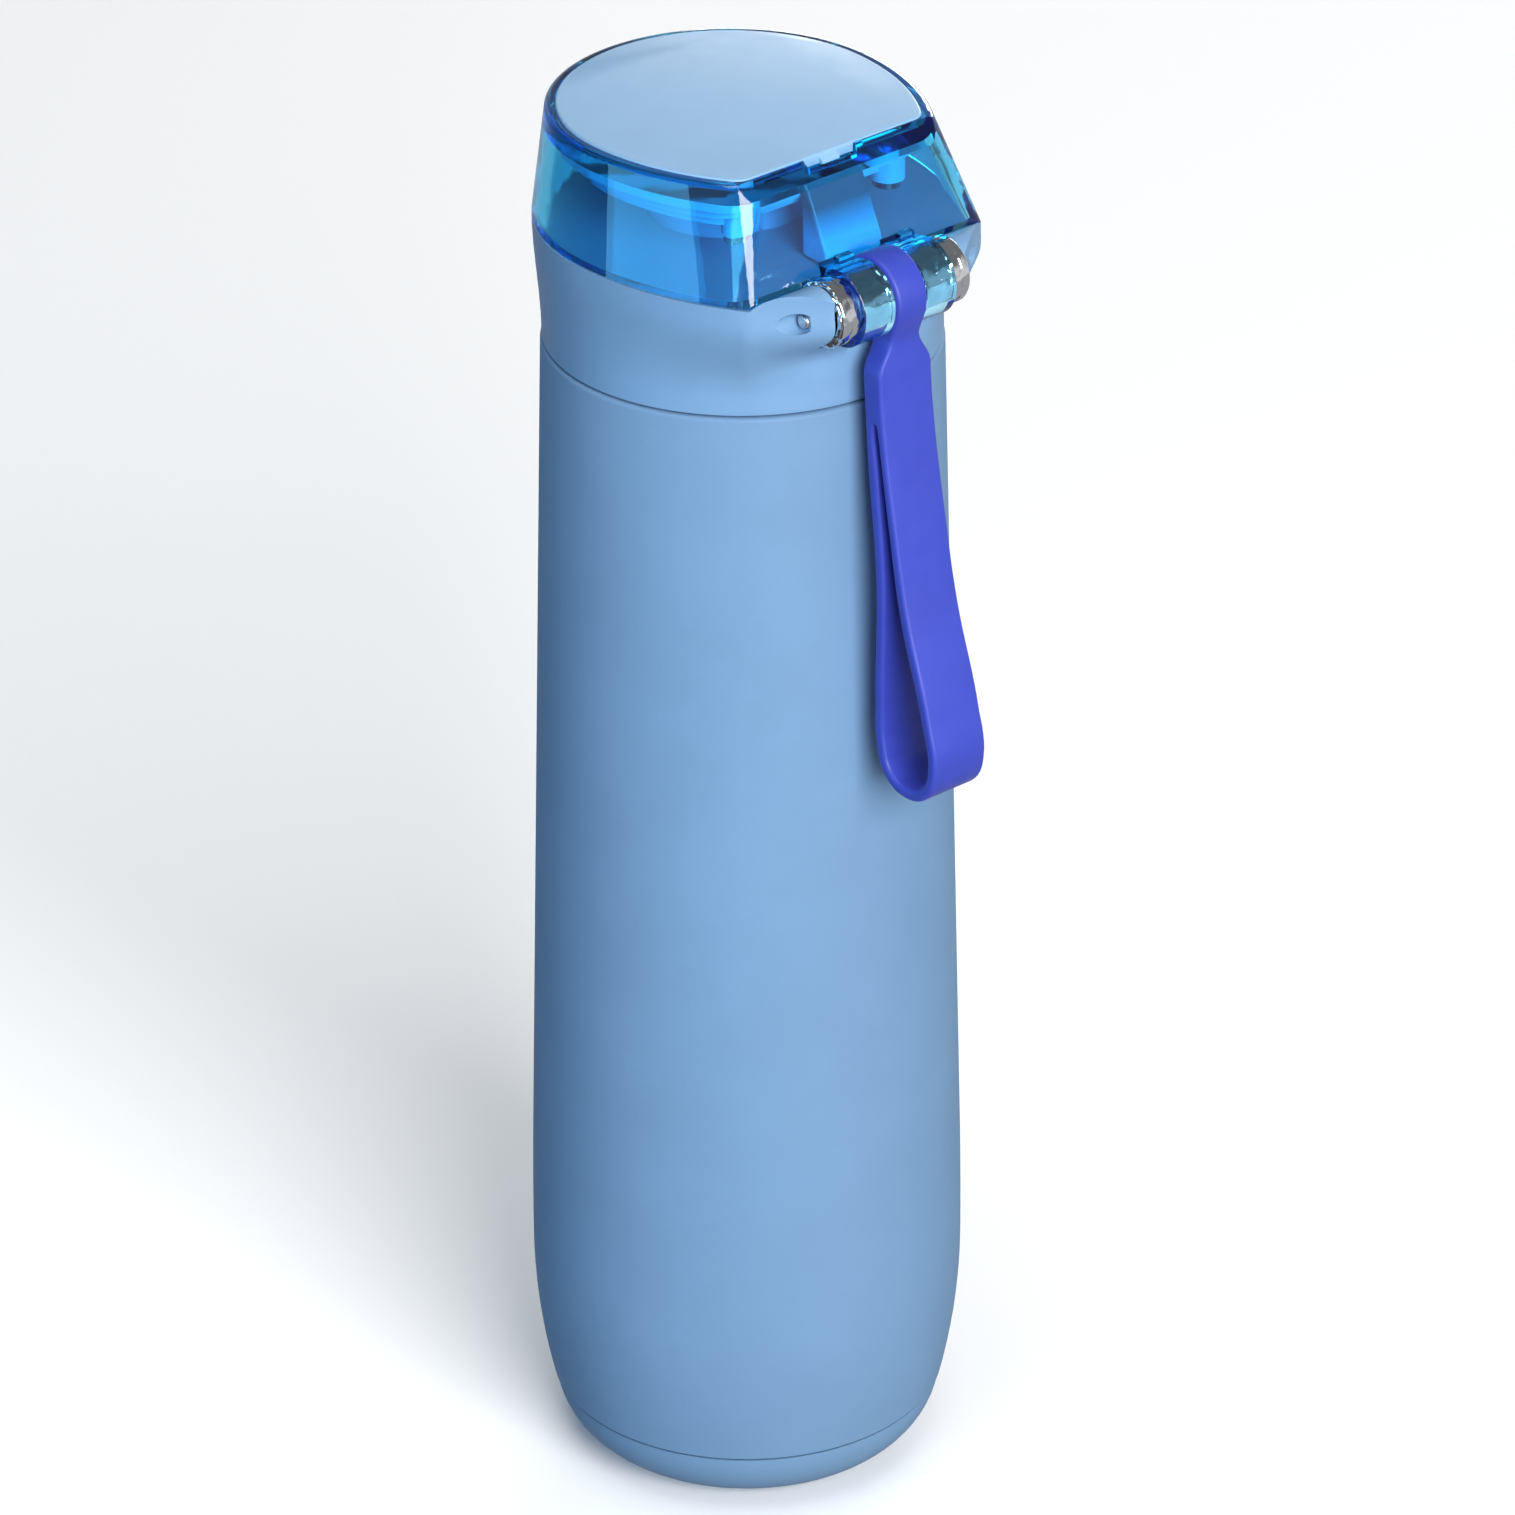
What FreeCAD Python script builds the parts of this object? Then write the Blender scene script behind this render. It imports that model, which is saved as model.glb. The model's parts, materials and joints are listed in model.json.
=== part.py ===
import FreeCAD, Part
import Sketcher
import math
import os

# An insulated flip-lid drinking bottle with a carry loop, in millimetres.
# The origin is the centre of the foot. +Z is up, the release button faces -Y,
# and the lid's hinge lies at the back, along X at +Y.

document = FreeCAD.newDocument("FlipLidBottle")

SIZES = [
    # flask
    ("body_top", 209.0, "height of the flask's shoulder edge"),
    ("top_radius", 33.0, "flask radius under the collar"),
    ("belly_radius", 36.8, "largest flask radius"),
    ("belly_height", 38.0, "height of the largest radius"),
    ("taper_start", 62.0, "height where the straight taper starts"),
    ("taper_drop", 0.3, "how much narrower the flask is there than at the belly"),
    ("lower_edge_radius", 33.8, "flask radius at its lower edge"),
    ("lower_edge_height", 12.0, "height of the flask's lower edge"),
    ("foot_radius", 22.0, "outer radius of the foot ring"),
    ("foot_corner", 12.5, "radius of the round from the foot to the cap's side"),
    ("foot_ring_radius", 17.0, "outer radius of the ring stamped into the foot"),
    ("foot_ring_width", 5.0, "width of that ring"),
    ("foot_ring_rise", 0.9, "how far that ring is pressed up"),
    ("cap_gap", 0.6, "width of the groove above the base cap"),
    ("cap_step", 0.4, "how far the cap's edge lies inside the flask's edge"),
    ("cap_wall", 0.6, "base cap wall"),
    ("steel_wall", 0.5, "flask outer wall"),
    ("liner_wall", 0.5, "flask inner wall"),
    ("vacuum_gap", 2.6, "space between the two walls"),
    ("shoulder_round", 0.8, "round on the shoulder edge"),
    ("neck_radius", 25.2, "flask neck, outside"),
    ("neck_height", 11.5, "neck above the shoulder edge"),
    ("mouth_radius", 23.2, "bottle mouth, inside"),
    ("bottom_gap", 5.0, "space between the bottom disc and the liner"),
    # collar
    ("seam_gap", 0.5, "gap between the flask and the collar"),
    ("collar_inset", 0.25, "how much narrower the collar is than the flask at the seam"),
    ("collar_rise", 21.5, "lid parting height above the collar's lower edge"),
    ("part_gap", 0.3, "gap between the collar's rim and the lid's edge"),
    ("rim_radius", 34.0, "rim radius at the front"),
    ("corner_x", 24.9, "where the curved flanks of the rim end, across"),
    ("corner_y", 30.0, "where the curved flanks of the rim end, to the back"),
    ("corner_round", 1.8, "radius of the lid's back corners at the rim"),
    ("corner_top", 7.0, "radius of the lid's back corners at its top"),
    ("chord_back", 30.8, "distance of the flat rear edge behind the bottle's axis"),
    ("bore_clearance", 0.3, "clearance round the thread sleeve"),
    ("deck_thickness", 2.8, "thickness of the collar's deck"),
    ("thread_clearance", 0.4, "radial clearance round the flask's neck"),
    ("sleeve_wall", 1.9, "thread sleeve wall"),
    ("gasket_thickness", 1.5, "neck gasket"),
    # spout
    ("spout_radius", 13.5, "drinking spout, outside"),
    ("spout_wall", 2.0, "drinking spout wall"),
    ("spout_forward", 3.0, "spout centre in front of the bottle's axis"),
    ("spout_rise", 7.3, "spout above the collar's rim"),
    # hinge
    ("hinge_back", 34.6, "hinge axis behind the bottle's axis"),
    ("hinge_drop", 2.8, "hinge axis below the lid parting"),
    ("pin_radius", 1.25, "hinge pin"),
    ("pin_half", 17.4, "half the hinge pin's length"),
    ("pin_clearance", 0.05, "running clearance of a turning fit"),
    ("barrel_radius", 5.0, "chromed barrel"),
    ("barrel_wall", 0.8, "chromed barrel wall"),
    ("bush_radius", 5.6, "chromed end rings"),
    ("knuckle_radius", 6.5, "lid knuckles"),
    ("loop_radius", 7.0, "strap neck round the barrel, outside"),
    ("swing_clearance", 0.4, "clearance round what swings about the hinge"),
    ("channel_half", 6.2, "half the width of the channel that the strap hangs in"),
    ("loop_half", 3.1, "half the strap neck's width"),
    ("knuckle_start", 3.4, "inner side of each knuckle"),
    ("knuckle_end", 9.6, "outer side of each knuckle"),
    ("ear_start", 13.7, "inner side of each ear"),
    ("ear_tip_x", 13.1, "where the collar's ears end, across"),
    ("ear_tip_y", 38.7, "where the collar's ears end, to the back"),
    ("ear_radius", 5.0, "radius of the collar's hinge ears round the hinge axis"),
    ("ear_hole", 1.85, "radius of the opening that shows the pin's end"),
    # lid
    ("lid_rise", 17.7, "height of the lid above its rim"),
    ("lid_wall", 2.4, "clear wall"),
    ("shoulder_drop", 3.5, "how far below the lid's top its back shoulder lies"),
    ("shoulder_back", 25.6, "rear shoulder edge behind the bottle's axis"),
    ("top_rim_radius", 29.4, "radius of the lid's top edge"),
    ("top_flank", 44.7, "radius of the lid's curved flanks at its top"),
    ("top_forward", 3.5, "how far the top's circle is moved to the front"),
    ("disc_radius", 27.7, "radius of the lid's disc"),
    ("disc_back", 22.2, "where the disc's straight back edge lies"),
    ("slot_shift", 1.2, "how far the snap slot lies off the middle"),
    ("disc_corner", 4.0, "radius of the disc's back corners"),
    ("disc_thickness", 1.8, "opaque top disc"),
    ("disc_stand", 0.2, "how far the disc stands above the lid's top edge"),
    ("disc_clearance", 0.15, "gap round the disc"),
    ("roof_thickness", 2.3, "clear roof under the disc"),
    # seal carrier
    ("carrier_radius", 27.5, "radius of the seal carrier's widest step"),
    ("carrier_back", 21.6, "flat rear side of the carrier"),
    ("carrier_step", 1.8, "height of each step"),
    ("carrier_inset", 1.6, "how much narrower each step is"),
    # release
    ("button_width", 15.8, "release button"),
    ("button_base", 6.4, "button's lower edge above the collar's lower edge"),
    ("button_height", 12.2, "release button"),
    ("button_front", 34.2, "button's face in front of the bottle's axis"),
    # strap
    ("strap_half", 5.6, "half the band's width"),
    ("strap_thickness", 2.0, "silicone band"),
]

sheet = document.addObject("Spreadsheet::Sheet", "Sizes")
for row, (alias, number, meaning) in enumerate(SIZES, start=1):
    sheet.set(f"A{row}", meaning)
    sheet.set(f"B{row}", str(number))
    sheet.setAlias(f"B{row}", alias)
document.recompute()


class Size:
    """A length with the sheet expression that gives it."""

    def __init__(self, value, text):
        self.value = value
        self.text = text

    def joined(self, sign, other, value):
        return Size(value, f"({self.text} {sign} {as_size(other).text})")

    def __add__(self, other):
        return self.joined("+", other, self.value + as_size(other).value)

    def __sub__(self, other):
        return self.joined("-", other, self.value - as_size(other).value)

    def __mul__(self, other):
        return self.joined("*", other, self.value * as_size(other).value)

    def __truediv__(self, other):
        return self.joined("/", other, self.value / as_size(other).value)

    def __neg__(self):
        return as_size(0) - self


def as_size(number):
    if isinstance(number, Size):
        return number
    return Size(float(number), repr(float(number)))


def root(size):
    return Size(math.sqrt(size.value), f"sqrt({size.text})")


def size(alias):
    return Size(float(sheet.get(alias)), f"Sizes.{alias}")


def drive(target, path, value):
    """Binds one property of a document object to the sheet."""
    target.setExpression(path, as_size(value).text)


ZERO = as_size(0)

# heights and radii that several pieces share
shoulder = size("body_top")
collar_base = shoulder + size("seam_gap")
lid_base = collar_base + size("collar_rise")
collar_top = lid_base - size("part_gap")
lid_top = lid_base + size("lid_rise")
hinge_y = size("hinge_back")
hinge_z = lid_base - size("hinge_drop")
neck_top = shoulder + size("neck_height")
lip_top = neck_top + size("liner_wall")
gasket_top = lip_top + size("gasket_thickness")
sleeve_bore = size("neck_radius") + size("thread_clearance")
sleeve_radius = sleeve_bore + size("sleeve_wall")
web_thickness = as_size(2.0)
web_top = gasket_top + web_thickness
deck_under = collar_top - size("deck_thickness")
inner_bore = size("neck_radius") - 0.8
spout_top = collar_top + size("spout_rise")
disc_top = lid_top + size("disc_stand")
recess_floor = disc_top - size("disc_thickness")
roof_under = recess_floor - size("roof_thickness")
button_low = collar_base + size("button_base")
button_high = button_low + size("button_height")
PLAY = 0.3


def add_body(label):
    body = document.addObject("PartDesign::Body", label)
    body.Label = label
    return body


def add_sketch(body, name, role, offset=None):
    """A sketch on one of the body's origin planes, moved along its normal."""
    planes = [plane for plane in body.Origin.OriginFeatures if plane.Role == role]
    sketch = body.newObject("Sketcher::SketchObject", name)
    sketch.AttachmentSupport = (planes[0], [""])
    sketch.MapMode = "FlatFace"
    if offset is not None:
        drive(sketch, "AttachmentOffset.Base.z", offset)
    return sketch


def hold(sketch, edge, end, across, along):
    """Holds one point of an edge at a place measured from the sketch's origin."""
    for kind, axis, value in (("DistanceX", -2, across), ("DistanceY", -1, along)):
        value = as_size(value)
        if value.text == "0.0":
            sketch.addConstraint(Sketcher.Constraint("PointOnObject", edge, end, axis))
            continue
        index = sketch.addConstraint(Sketcher.Constraint(kind, edge, end, value.value))
        drive(sketch, f"Constraints[{index}]", value)


def hold_radius(sketch, edge, radius):
    radius = as_size(radius)
    index = sketch.addConstraint(Sketcher.Constraint("Radius", edge, radius.value))
    drive(sketch, f"Constraints[{index}]", radius)


def arc_between(start, end, radius, left_turn):
    """The short arc from start to end; a left turn runs counter-clockwise."""
    chord = end - start
    reach = math.sqrt(max(radius**2 - (chord.Length / 2) ** 2, 0.0))
    side = FreeCAD.Vector(-chord.y, chord.x, 0).normalize()
    centre = (start + end) / 2 + side * (reach if left_turn else -reach)
    first, last = (start, end) if left_turn else (end, start)
    angles = [math.atan2(p.y - centre.y, p.x - centre.x) for p in (first, last)]
    circle = Part.Circle(centre, FreeCAD.Vector(0, 0, 1), radius)
    return Part.ArcOfCircle(circle, angles[0], angles[1])


def closed_profile(sketch, corners):
    """Draws a closed outline. A corner is (across, along), and a third entry makes
    the edge that leaves it an arc of that radius, (radius, True) for a left turn."""
    places = [(as_size(c[0]), as_size(c[1])) for c in corners]
    points = [FreeCAD.Vector(a.value, b.value, 0) for a, b in places]
    bends = [c[2] if len(c) > 2 else None for c in corners]
    first = sketch.GeometryCount
    ends = []
    for index, bend in enumerate(bends):
        start = points[index]
        end = points[(index + 1) % len(points)]
        if bend is None:
            sketch.addGeometry(Part.LineSegment(start, end), False)
            ends.append((1, 2))
        else:
            radius, left_turn = bend
            arc = arc_between(start, end, as_size(radius).value, left_turn)
            sketch.addGeometry(arc, False)
            ends.append((1, 2) if left_turn else (2, 1))
    for index, (across, along) in enumerate(places):
        edge = first + index
        before = (index - 1) % len(places)
        hold(sketch, edge, ends[index][0], across, along)
        joint = (first + before, ends[before][1], edge, ends[index][0])
        sketch.addConstraint(Sketcher.Constraint("Coincident", *joint))
        if bends[index] is not None:
            hold_radius(sketch, edge, bends[index][0])


def circle(sketch, across, along, radius):
    across, along, radius = as_size(across), as_size(along), as_size(radius)
    centre = FreeCAD.Vector(across.value, along.value, 0)
    ring = Part.Circle(centre, FreeCAD.Vector(0, 0, 1), radius.value)
    edge = sketch.addGeometry(ring, False)
    hold(sketch, edge, 3, across, along)
    hold_radius(sketch, edge, radius)


def rectangle(sketch, left, right, low, high):
    closed_profile(sketch, [(left, low), (right, low), (right, high), (left, high)])


def turned(body, name, profile, kind="PartDesign::Revolution"):
    """Turns an outline in the XZ plane about the body's vertical axis."""
    sketch = add_sketch(body, name + "_outline", "XZ_Plane")
    closed_profile(sketch, profile)
    feature = body.newObject(kind, name)
    feature.Profile = sketch
    feature.ReferenceAxis = (sketch, ["V_Axis"])
    feature.Angle = 360
    return feature


def added(body, name, sketch, length, symmetric=False, back=False):
    pad = body.newObject("PartDesign::Pad", name)
    pad.Profile = sketch
    drive(pad, "Length", length)
    if symmetric:
        pad.SideType = "Symmetric"
    pad.Reversed = back
    return pad


def cut(body, name, sketch, length, symmetric=False, back=False):
    """A pocket, checked to have taken material away."""
    document.recompute()
    before = body.Tip.Shape.Volume
    pocket = body.newObject("PartDesign::Pocket", name)
    pocket.Profile = sketch
    drive(pocket, "Length", length)
    if symmetric:
        pocket.SideType = "Symmetric"
    pocket.Reversed = back
    document.recompute()
    if pocket.Shape.Volume > before - 1e-3:
        raise RuntimeError(f"{body.Label}: {name} cuts nothing")
    return pocket


def lofted(body, name, sketches, kind="PartDesign::AdditiveLoft", ruled=True):
    loft = body.newObject(kind, name)
    loft.Profile = sketches[0]
    loft.Sections = sketches[1:]
    loft.Ruled = ruled
    return loft


def rounded(body, name, radius, wanted):
    """Rounds the edges of the body so far that the test picks."""
    document.recompute()
    base = body.Tip
    names = [
        f"Edge{index}"
        for index, edge in enumerate(base.Shape.Edges, start=1)
        if wanted(edge)
    ]
    if not names:
        raise RuntimeError(f"{body.Label}: no edge for {name}")
    fillet = body.newObject("PartDesign::Fillet", name)
    fillet.Base = (base, names)
    drive(fillet, "Radius", radius)
    return fillet


def rim_flank():
    """Radius of the rim's flanks, which leave the front circle without a kink."""
    return sag(size("corner_y"), size("rim_radius") - size("corner_x"))


def sag(span, drop):
    """Radius of the arc that starts upright and falls away by drop over span."""
    return (span * span + drop * drop) / (drop * 2)


def lid_plan(radius, forward, flank, corner, back):
    """Corners of the lid's plan: a half circle in front, two flanks of a larger
    radius, two rounded corners and a flat back. Forward moves the circle to -Y."""
    rise = back - corner + forward
    reach = flank - corner
    across = root(reach * reach - rise * rise)
    centre = radius - flank
    turn_x = centre + across * flank / reach
    turn_y = rise * flank / reach - forward
    side = centre + across
    return [
        (ZERO, -(forward + radius), (radius, True)),
        (radius, -forward, (flank, True)),
        (turn_x, turn_y, (corner, True)),
        (side, back),
        (-side, back, (corner, True)),
        (-turn_x, turn_y, (flank, True)),
        (-radius, -forward, (radius, True)),
    ]


def collar_plan(swell, spread, reach):
    """Corners of the collar's plan at one height. Each share runs from 0, the round
    wall, to 1, the rim: swell of the front, spread of the back corners, and reach
    of the two hinge ears."""
    ring = size("top_radius") - size("collar_inset")
    radius = ring + (size("rim_radius") - ring) * swell
    side_x, side_y = toward(ring, 50, size("corner_x"), size("corner_y"), spread)
    tip_x, tip_y = toward(ring, 70, size("ear_tip_x"), size("ear_tip_y"), reach)
    flank = radius
    slant = radius
    if swell > 0:
        flank = sag(side_y, radius - side_x)
        slant = radius / (1.0 - min(reach, 0.98))
    return [
        (ZERO, -radius, (radius, True)),
        (radius, ZERO, (flank, True)),
        (side_x, side_y, (slant, True)),
        (tip_x, tip_y, (slant, True)),
        (-tip_x, tip_y, (slant, True)),
        (-side_x, side_y, (flank, True)),
        (-radius, ZERO, (radius, True)),
    ]


def toward(ring, degrees, x, y, share):
    """A point that moves from a place on the round wall to (x, y)."""
    angle = math.radians(degrees)
    start_x = ring * math.cos(angle)
    start_y = ring * math.sin(angle)
    return start_x + (x - start_x) * share, start_y + (y - start_y) * share


def ease(height, start, end):
    """A share that leaves 0 at start and reaches 1 at end, without a kink."""
    along = min(max((height - start) / (end - start), 0.0), 1.0)
    return along * along * (3.0 - 2.0 * along)


def plan_sketch(body, name, height, corners):
    sketch = add_sketch(body, name, "XY_Plane", height)
    closed_profile(sketch, corners)
    return sketch


# ---------------------------------------------------------------- flask

def flask_side(inset):
    """The flask's side from its lower edge to its shoulder, moved in by inset."""
    low_span = size("belly_height") - size("lower_edge_height")
    low_drop = size("belly_radius") - size("lower_edge_radius")
    high_span = size("taper_start") - size("belly_height")
    return [
        (size("lower_edge_radius") - inset, size("lower_edge_height"), sag(low_span, low_drop)),
        (size("belly_radius") - inset, size("belly_height"), sag(high_span, size("taper_drop"))),
        (size("belly_radius") - size("taper_drop") - inset, size("taper_start"), None),
        (size("top_radius") - inset, shoulder - size("shoulder_round"), None),
    ]


def outer_shell():
    body = add_body("outer_shell")
    wall = size("steel_wall")
    turn = size("shoulder_round")
    edge = size("lower_edge_height")
    skirt_radius = size("lower_edge_radius") - size("cap_step") - size("cap_wall") - PLAY
    skirt_drop = as_size(3.5)
    skirt_lean = as_size(1.0)
    profile = []
    for radius, height, bend in flask_side(ZERO):
        profile.append((radius, height, (bend, True)) if bend else (radius, height))
    profile[-1] = profile[-1] + ((turn, True),)
    profile += [
        (size("top_radius") - turn, shoulder),
        (size("neck_radius") + 1.2, shoulder + 0.2, (as_size(1.2), False)),
        (size("neck_radius"), shoulder + 1.4),
        (size("neck_radius"), neck_top),
        (size("neck_radius") - wall, neck_top),
        (size("neck_radius") - wall, shoulder + 1.1),
        (size("neck_radius") + 0.6, shoulder - 0.4),
        (size("top_radius") - turn, shoulder - wall),
    ]
    inner = flask_side(wall)
    profile.append((inner[3][0], inner[3][1]))
    profile.append((inner[2][0], inner[2][1], (inner[1][2], False)))
    profile.append((inner[1][0], inner[1][1], (inner[0][2], False)))
    profile += [
        (inner[0][0], edge + wall),
        (skirt_radius - wall, edge + wall),
        (skirt_radius - wall - skirt_lean, edge - skirt_drop),
        (skirt_radius - skirt_lean, edge - skirt_drop),
        (skirt_radius, edge),
    ]
    turned(body, "wall", profile)
    return body


def outer_bottom():
    """Pressed disc under the skirt, dished up round the evacuation hole."""
    body = add_body("outer_bottom")
    wall = size("steel_wall")
    high = size("lower_edge_height") - 3.5
    radius = size("lower_edge_radius") - size("cap_step") - size("cap_wall") - PLAY - 1.0
    turned(body, "disc", [
        (1.2, high + 0.9),
        (6.6, high + 0.9),
        (9.6, high - wall),
        (radius, high - wall),
        (radius, high),
        (10.0, high),
        (7.0, high + 1.5),
        (1.2, high + 1.5),
    ])
    return body


def vacuum_seal():
    body = add_body("vacuum_seal")
    high = size("lower_edge_height") - 3.5 + 0.9
    turned(body, "bead", [
        (ZERO, high - 1.0),
        (2.4, high - 1.0, (as_size(1.0), True)),
        (3.4, high),
        (1.1, high),
        (1.1, high + 0.6),
        (ZERO, high + 0.6),
    ])
    return body


def base_cap():
    """Pressed cap over the bottom, with a stiffening ring stamped into its foot."""
    body = add_body("base_cap")
    wall = size("cap_wall")
    foot = size("foot_radius")
    edge = size("lower_edge_radius") - size("cap_step")
    high = size("lower_edge_height") - size("cap_gap")
    rise = size("foot_ring_rise")
    corner = size("foot_corner")
    outer = size("foot_ring_radius")
    inner = outer - size("foot_ring_width")
    turned(body, "cup", [
        (foot, ZERO, (corner, True)),
        (edge, high),
        (edge - wall, high, (corner - wall, False)),
        (foot - 0.2, wall),
        (outer - 0.1, wall),
        (outer - rise, rise + wall),
        (inner + rise, rise + wall),
        (inner + 0.1, wall),
        (ZERO, wall),
        (ZERO, ZERO),
        (inner - 0.1, ZERO),
        (inner + rise - 0.2, rise),
        (outer - rise + 0.2, rise),
        (outer + 0.1, ZERO),
    ])
    return body


def inner_liner():
    body = add_body("inner_liner")
    wall = size("liner_wall")
    inset = size("steel_wall") + size("vacuum_gap")
    mouth = size("mouth_radius")
    floor = size("lower_edge_height") - 3.5 + size("bottom_gap")
    corner = size("belly_radius") - size("lower_edge_radius") + 10.0
    low = floor + corner
    side = flask_side(inset)
    neck_low = shoulder - 2.2
    cheek = shoulder - 9.0
    cheek_radius = size("top_radius") - inset + 0.2
    turned(body, "wall", [
        (ZERO, floor),
        (side[1][0] - corner - 0.4, floor, (corner, True)),
        (side[1][0] - 0.4, low),
        (side[1][0], side[1][1], (side[1][2], True)),
        (side[2][0], side[2][1]),
        (cheek_radius, cheek),
        (mouth + wall, neck_low),
        (mouth + wall, neck_top),
        (size("neck_radius"), neck_top),
        (size("neck_radius"), lip_top),
        (mouth, lip_top),
        (mouth, neck_low - 0.3),
        (cheek_radius - wall, cheek - 0.3),
        (side[2][0] - wall, side[2][1], (side[1][2], False)),
        (side[1][0] - wall, side[1][1]),
        (side[1][0] - 0.4 - wall, low, (corner - wall, False)),
        (side[1][0] - corner - 0.4, floor + wall),
        (ZERO, floor + wall),
    ])
    return body


# ---------------------------------------------------------------- collar

def collar_side(body):
    """Outside of the collar: round below, swelling into the rim's plan and the ears."""
    rise = (collar_top - collar_base).value
    ear_rise = rise + 3.3
    sections = []
    for index, height in enumerate((0.0, 2.0, 4.0, 6.2, 8.4, 10.6, 12.8, 15.0, 17.0, 19.2, 21.8, ear_rise), start=1):
        swell = ease(height, 1.0, rise)
        plan = collar_plan(swell, ease(height, 3.5, 18.0), ease(height, 8.6, 17.0))
        sections.append(plan_sketch(body, f"level_{index}", collar_base + height, plan))
    lofted(body, "side", sections, ruled=False)


def rim_and_ears(body):
    """Flat rim, with the ears left standing round the hinge axis."""
    radius = size("ear_radius")
    above = collar_top - hinge_z
    reach = root(radius * radius - above * above)
    far = as_size(60)
    sketch = add_sketch(body, "rim_and_ears_outline", "YZ_Plane")
    closed_profile(sketch, [
        (-far, collar_top),
        (hinge_y - reach, collar_top, (radius, False)),
        (hinge_y + radius, hinge_z),
        (far, hinge_z),
        (far, hinge_z + 12),
        (-far, hinge_z + 12),
    ])
    cut(body, "rim_and_ears", sketch, far * 2, symmetric=True)


def strap_channel(body):
    """Upright channel behind the bottle, between the two halves of the trough's wall,
    in which the strap hangs and swings."""
    half = size("channel_half")
    radius = size("top_radius") - size("collar_inset")
    side_y = root(radius * radius - half * half)
    sketch = add_sketch(body, "strap_channel_outline", "XY_Plane", hinge_z + 8)
    closed_profile(sketch, [
        (-half, side_y),
        (-half, hinge_y + 12),
        (half, hinge_y + 12),
        (half, side_y, (radius, True)),
    ])
    cut(body, "strap_channel", sketch, hinge_z + 8 - (collar_base + 3.5))


def collar_hollow(body):
    """Bore for the thread sleeve, the space above it and the deck's underside."""
    bore = sleeve_radius + size("bore_clearance")
    step = gasket_top + 1.0
    turned(body, "hollow", [
        (ZERO, collar_base - 1.0),
        (bore, collar_base - 1.0),
        (bore, step),
        (inner_bore, step),
        (inner_bore, deck_under),
        (ZERO, deck_under),
    ], "PartDesign::Groove")


def spout_hole(body):
    sketch = add_sketch(body, "spout_hole_outline", "XY_Plane", collar_top)
    circle(sketch, ZERO, -size("spout_forward"), size("spout_radius") + PLAY)
    cut(body, "spout_hole", sketch, size("deck_thickness") + 0.1)
    sketch = add_sketch(body, "vent_hole_outline", "XY_Plane", collar_top)
    circle(sketch, ZERO, inner_bore - 1.8, 1.2)
    cut(body, "vent_hole", sketch, size("deck_thickness") + 0.1)


def barrel_recess(body):
    """Stepped trough for the barrel, the hole for its pin and the two side openings."""
    steps = (
        ("loop", size("loop_radius"), size("channel_half")),
        ("knuckle", size("knuckle_radius"), size("knuckle_end") + PLAY),
        ("bush", size("bush_radius"), size("ear_start")),
    )
    for name, radius, half in steps:
        sketch = add_sketch(body, f"{name}_trough_outline", "YZ_Plane")
        circle(sketch, hinge_y, hinge_z, radius + size("swing_clearance"))
        cut(body, f"{name}_trough", sketch, half * 2, symmetric=True)
    sketch = add_sketch(body, "pin_hole_outline", "YZ_Plane")
    circle(sketch, hinge_y, hinge_z, size("pin_radius") + size("pin_clearance"))
    cut(body, "pin_hole", sketch, size("pin_half") * 2, symmetric=True)
    for name, sign in (("left", -1), ("right", 1)):
        offset = (size("pin_half") - 0.6) * sign
        sketch = add_sketch(body, f"pin_window_{name}_outline", "YZ_Plane", offset)
        circle(sketch, hinge_y, hinge_z, size("ear_hole"))
        cut(body, f"pin_window_{name}", sketch, 12, back=sign > 0)


def button_pocket(body):
    """Pocket for the release button, with the slot that the lid's hook drops into."""
    half = size("button_width") / 2 + PLAY
    face = size("button_front") + 2
    shelf = deck_under - 4.0
    floor = sleeve_radius + size("bore_clearance") + 1.5
    back = inner_bore + 1.2
    sketch = add_sketch(body, "button_pocket_outline", "XZ_Plane", floor)
    rectangle(sketch, -half, half, button_low - PLAY, shelf)
    cut(body, "button_pocket", sketch, face - floor, back=True)
    sketch = add_sketch(body, "catch_pocket_outline", "XZ_Plane", back)
    rectangle(sketch, -half, half, shelf, button_high + PLAY)
    cut(body, "catch_pocket", sketch, face - back, back=True)
    sketch = add_sketch(body, "hook_slot_outline", "XY_Plane", collar_top)
    rectangle(sketch, -5.2, 5.2, -(size("button_front") - 2.2), -(inner_bore + 3.5))
    cut(body, "hook_slot", sketch, collar_top - button_high)


def collar():
    body = add_body("collar")
    collar_side(body)
    rim_and_ears(body)
    strap_channel(body)
    collar_hollow(body)
    spout_hole(body)
    barrel_recess(body)
    button_pocket(body)
    return body


def thread_sleeve():
    body = add_body("thread_sleeve")
    turned(body, "sleeve", [
        (sleeve_bore, collar_base + 0.7),
        (sleeve_radius, collar_base + 0.7),
        (sleeve_radius, gasket_top + 0.8),
        (inner_bore - PLAY, gasket_top + 0.8),
        (inner_bore - PLAY, web_top),
        (ZERO, web_top),
        (ZERO, gasket_top),
        (sleeve_bore, gasket_top),
    ])
    sketch = add_sketch(body, "drink_hole_outline", "XY_Plane", web_top)
    circle(sketch, ZERO, -size("spout_forward"), size("spout_radius") - size("spout_wall"))
    cut(body, "drink_hole", sketch, web_thickness + 0.1)
    sketch = add_sketch(body, "vent_outline", "XY_Plane", web_top)
    circle(sketch, ZERO, size("mouth_radius") - 3.0, 1.0)
    cut(body, "vent", sketch, web_thickness + 0.1)
    return body


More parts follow.
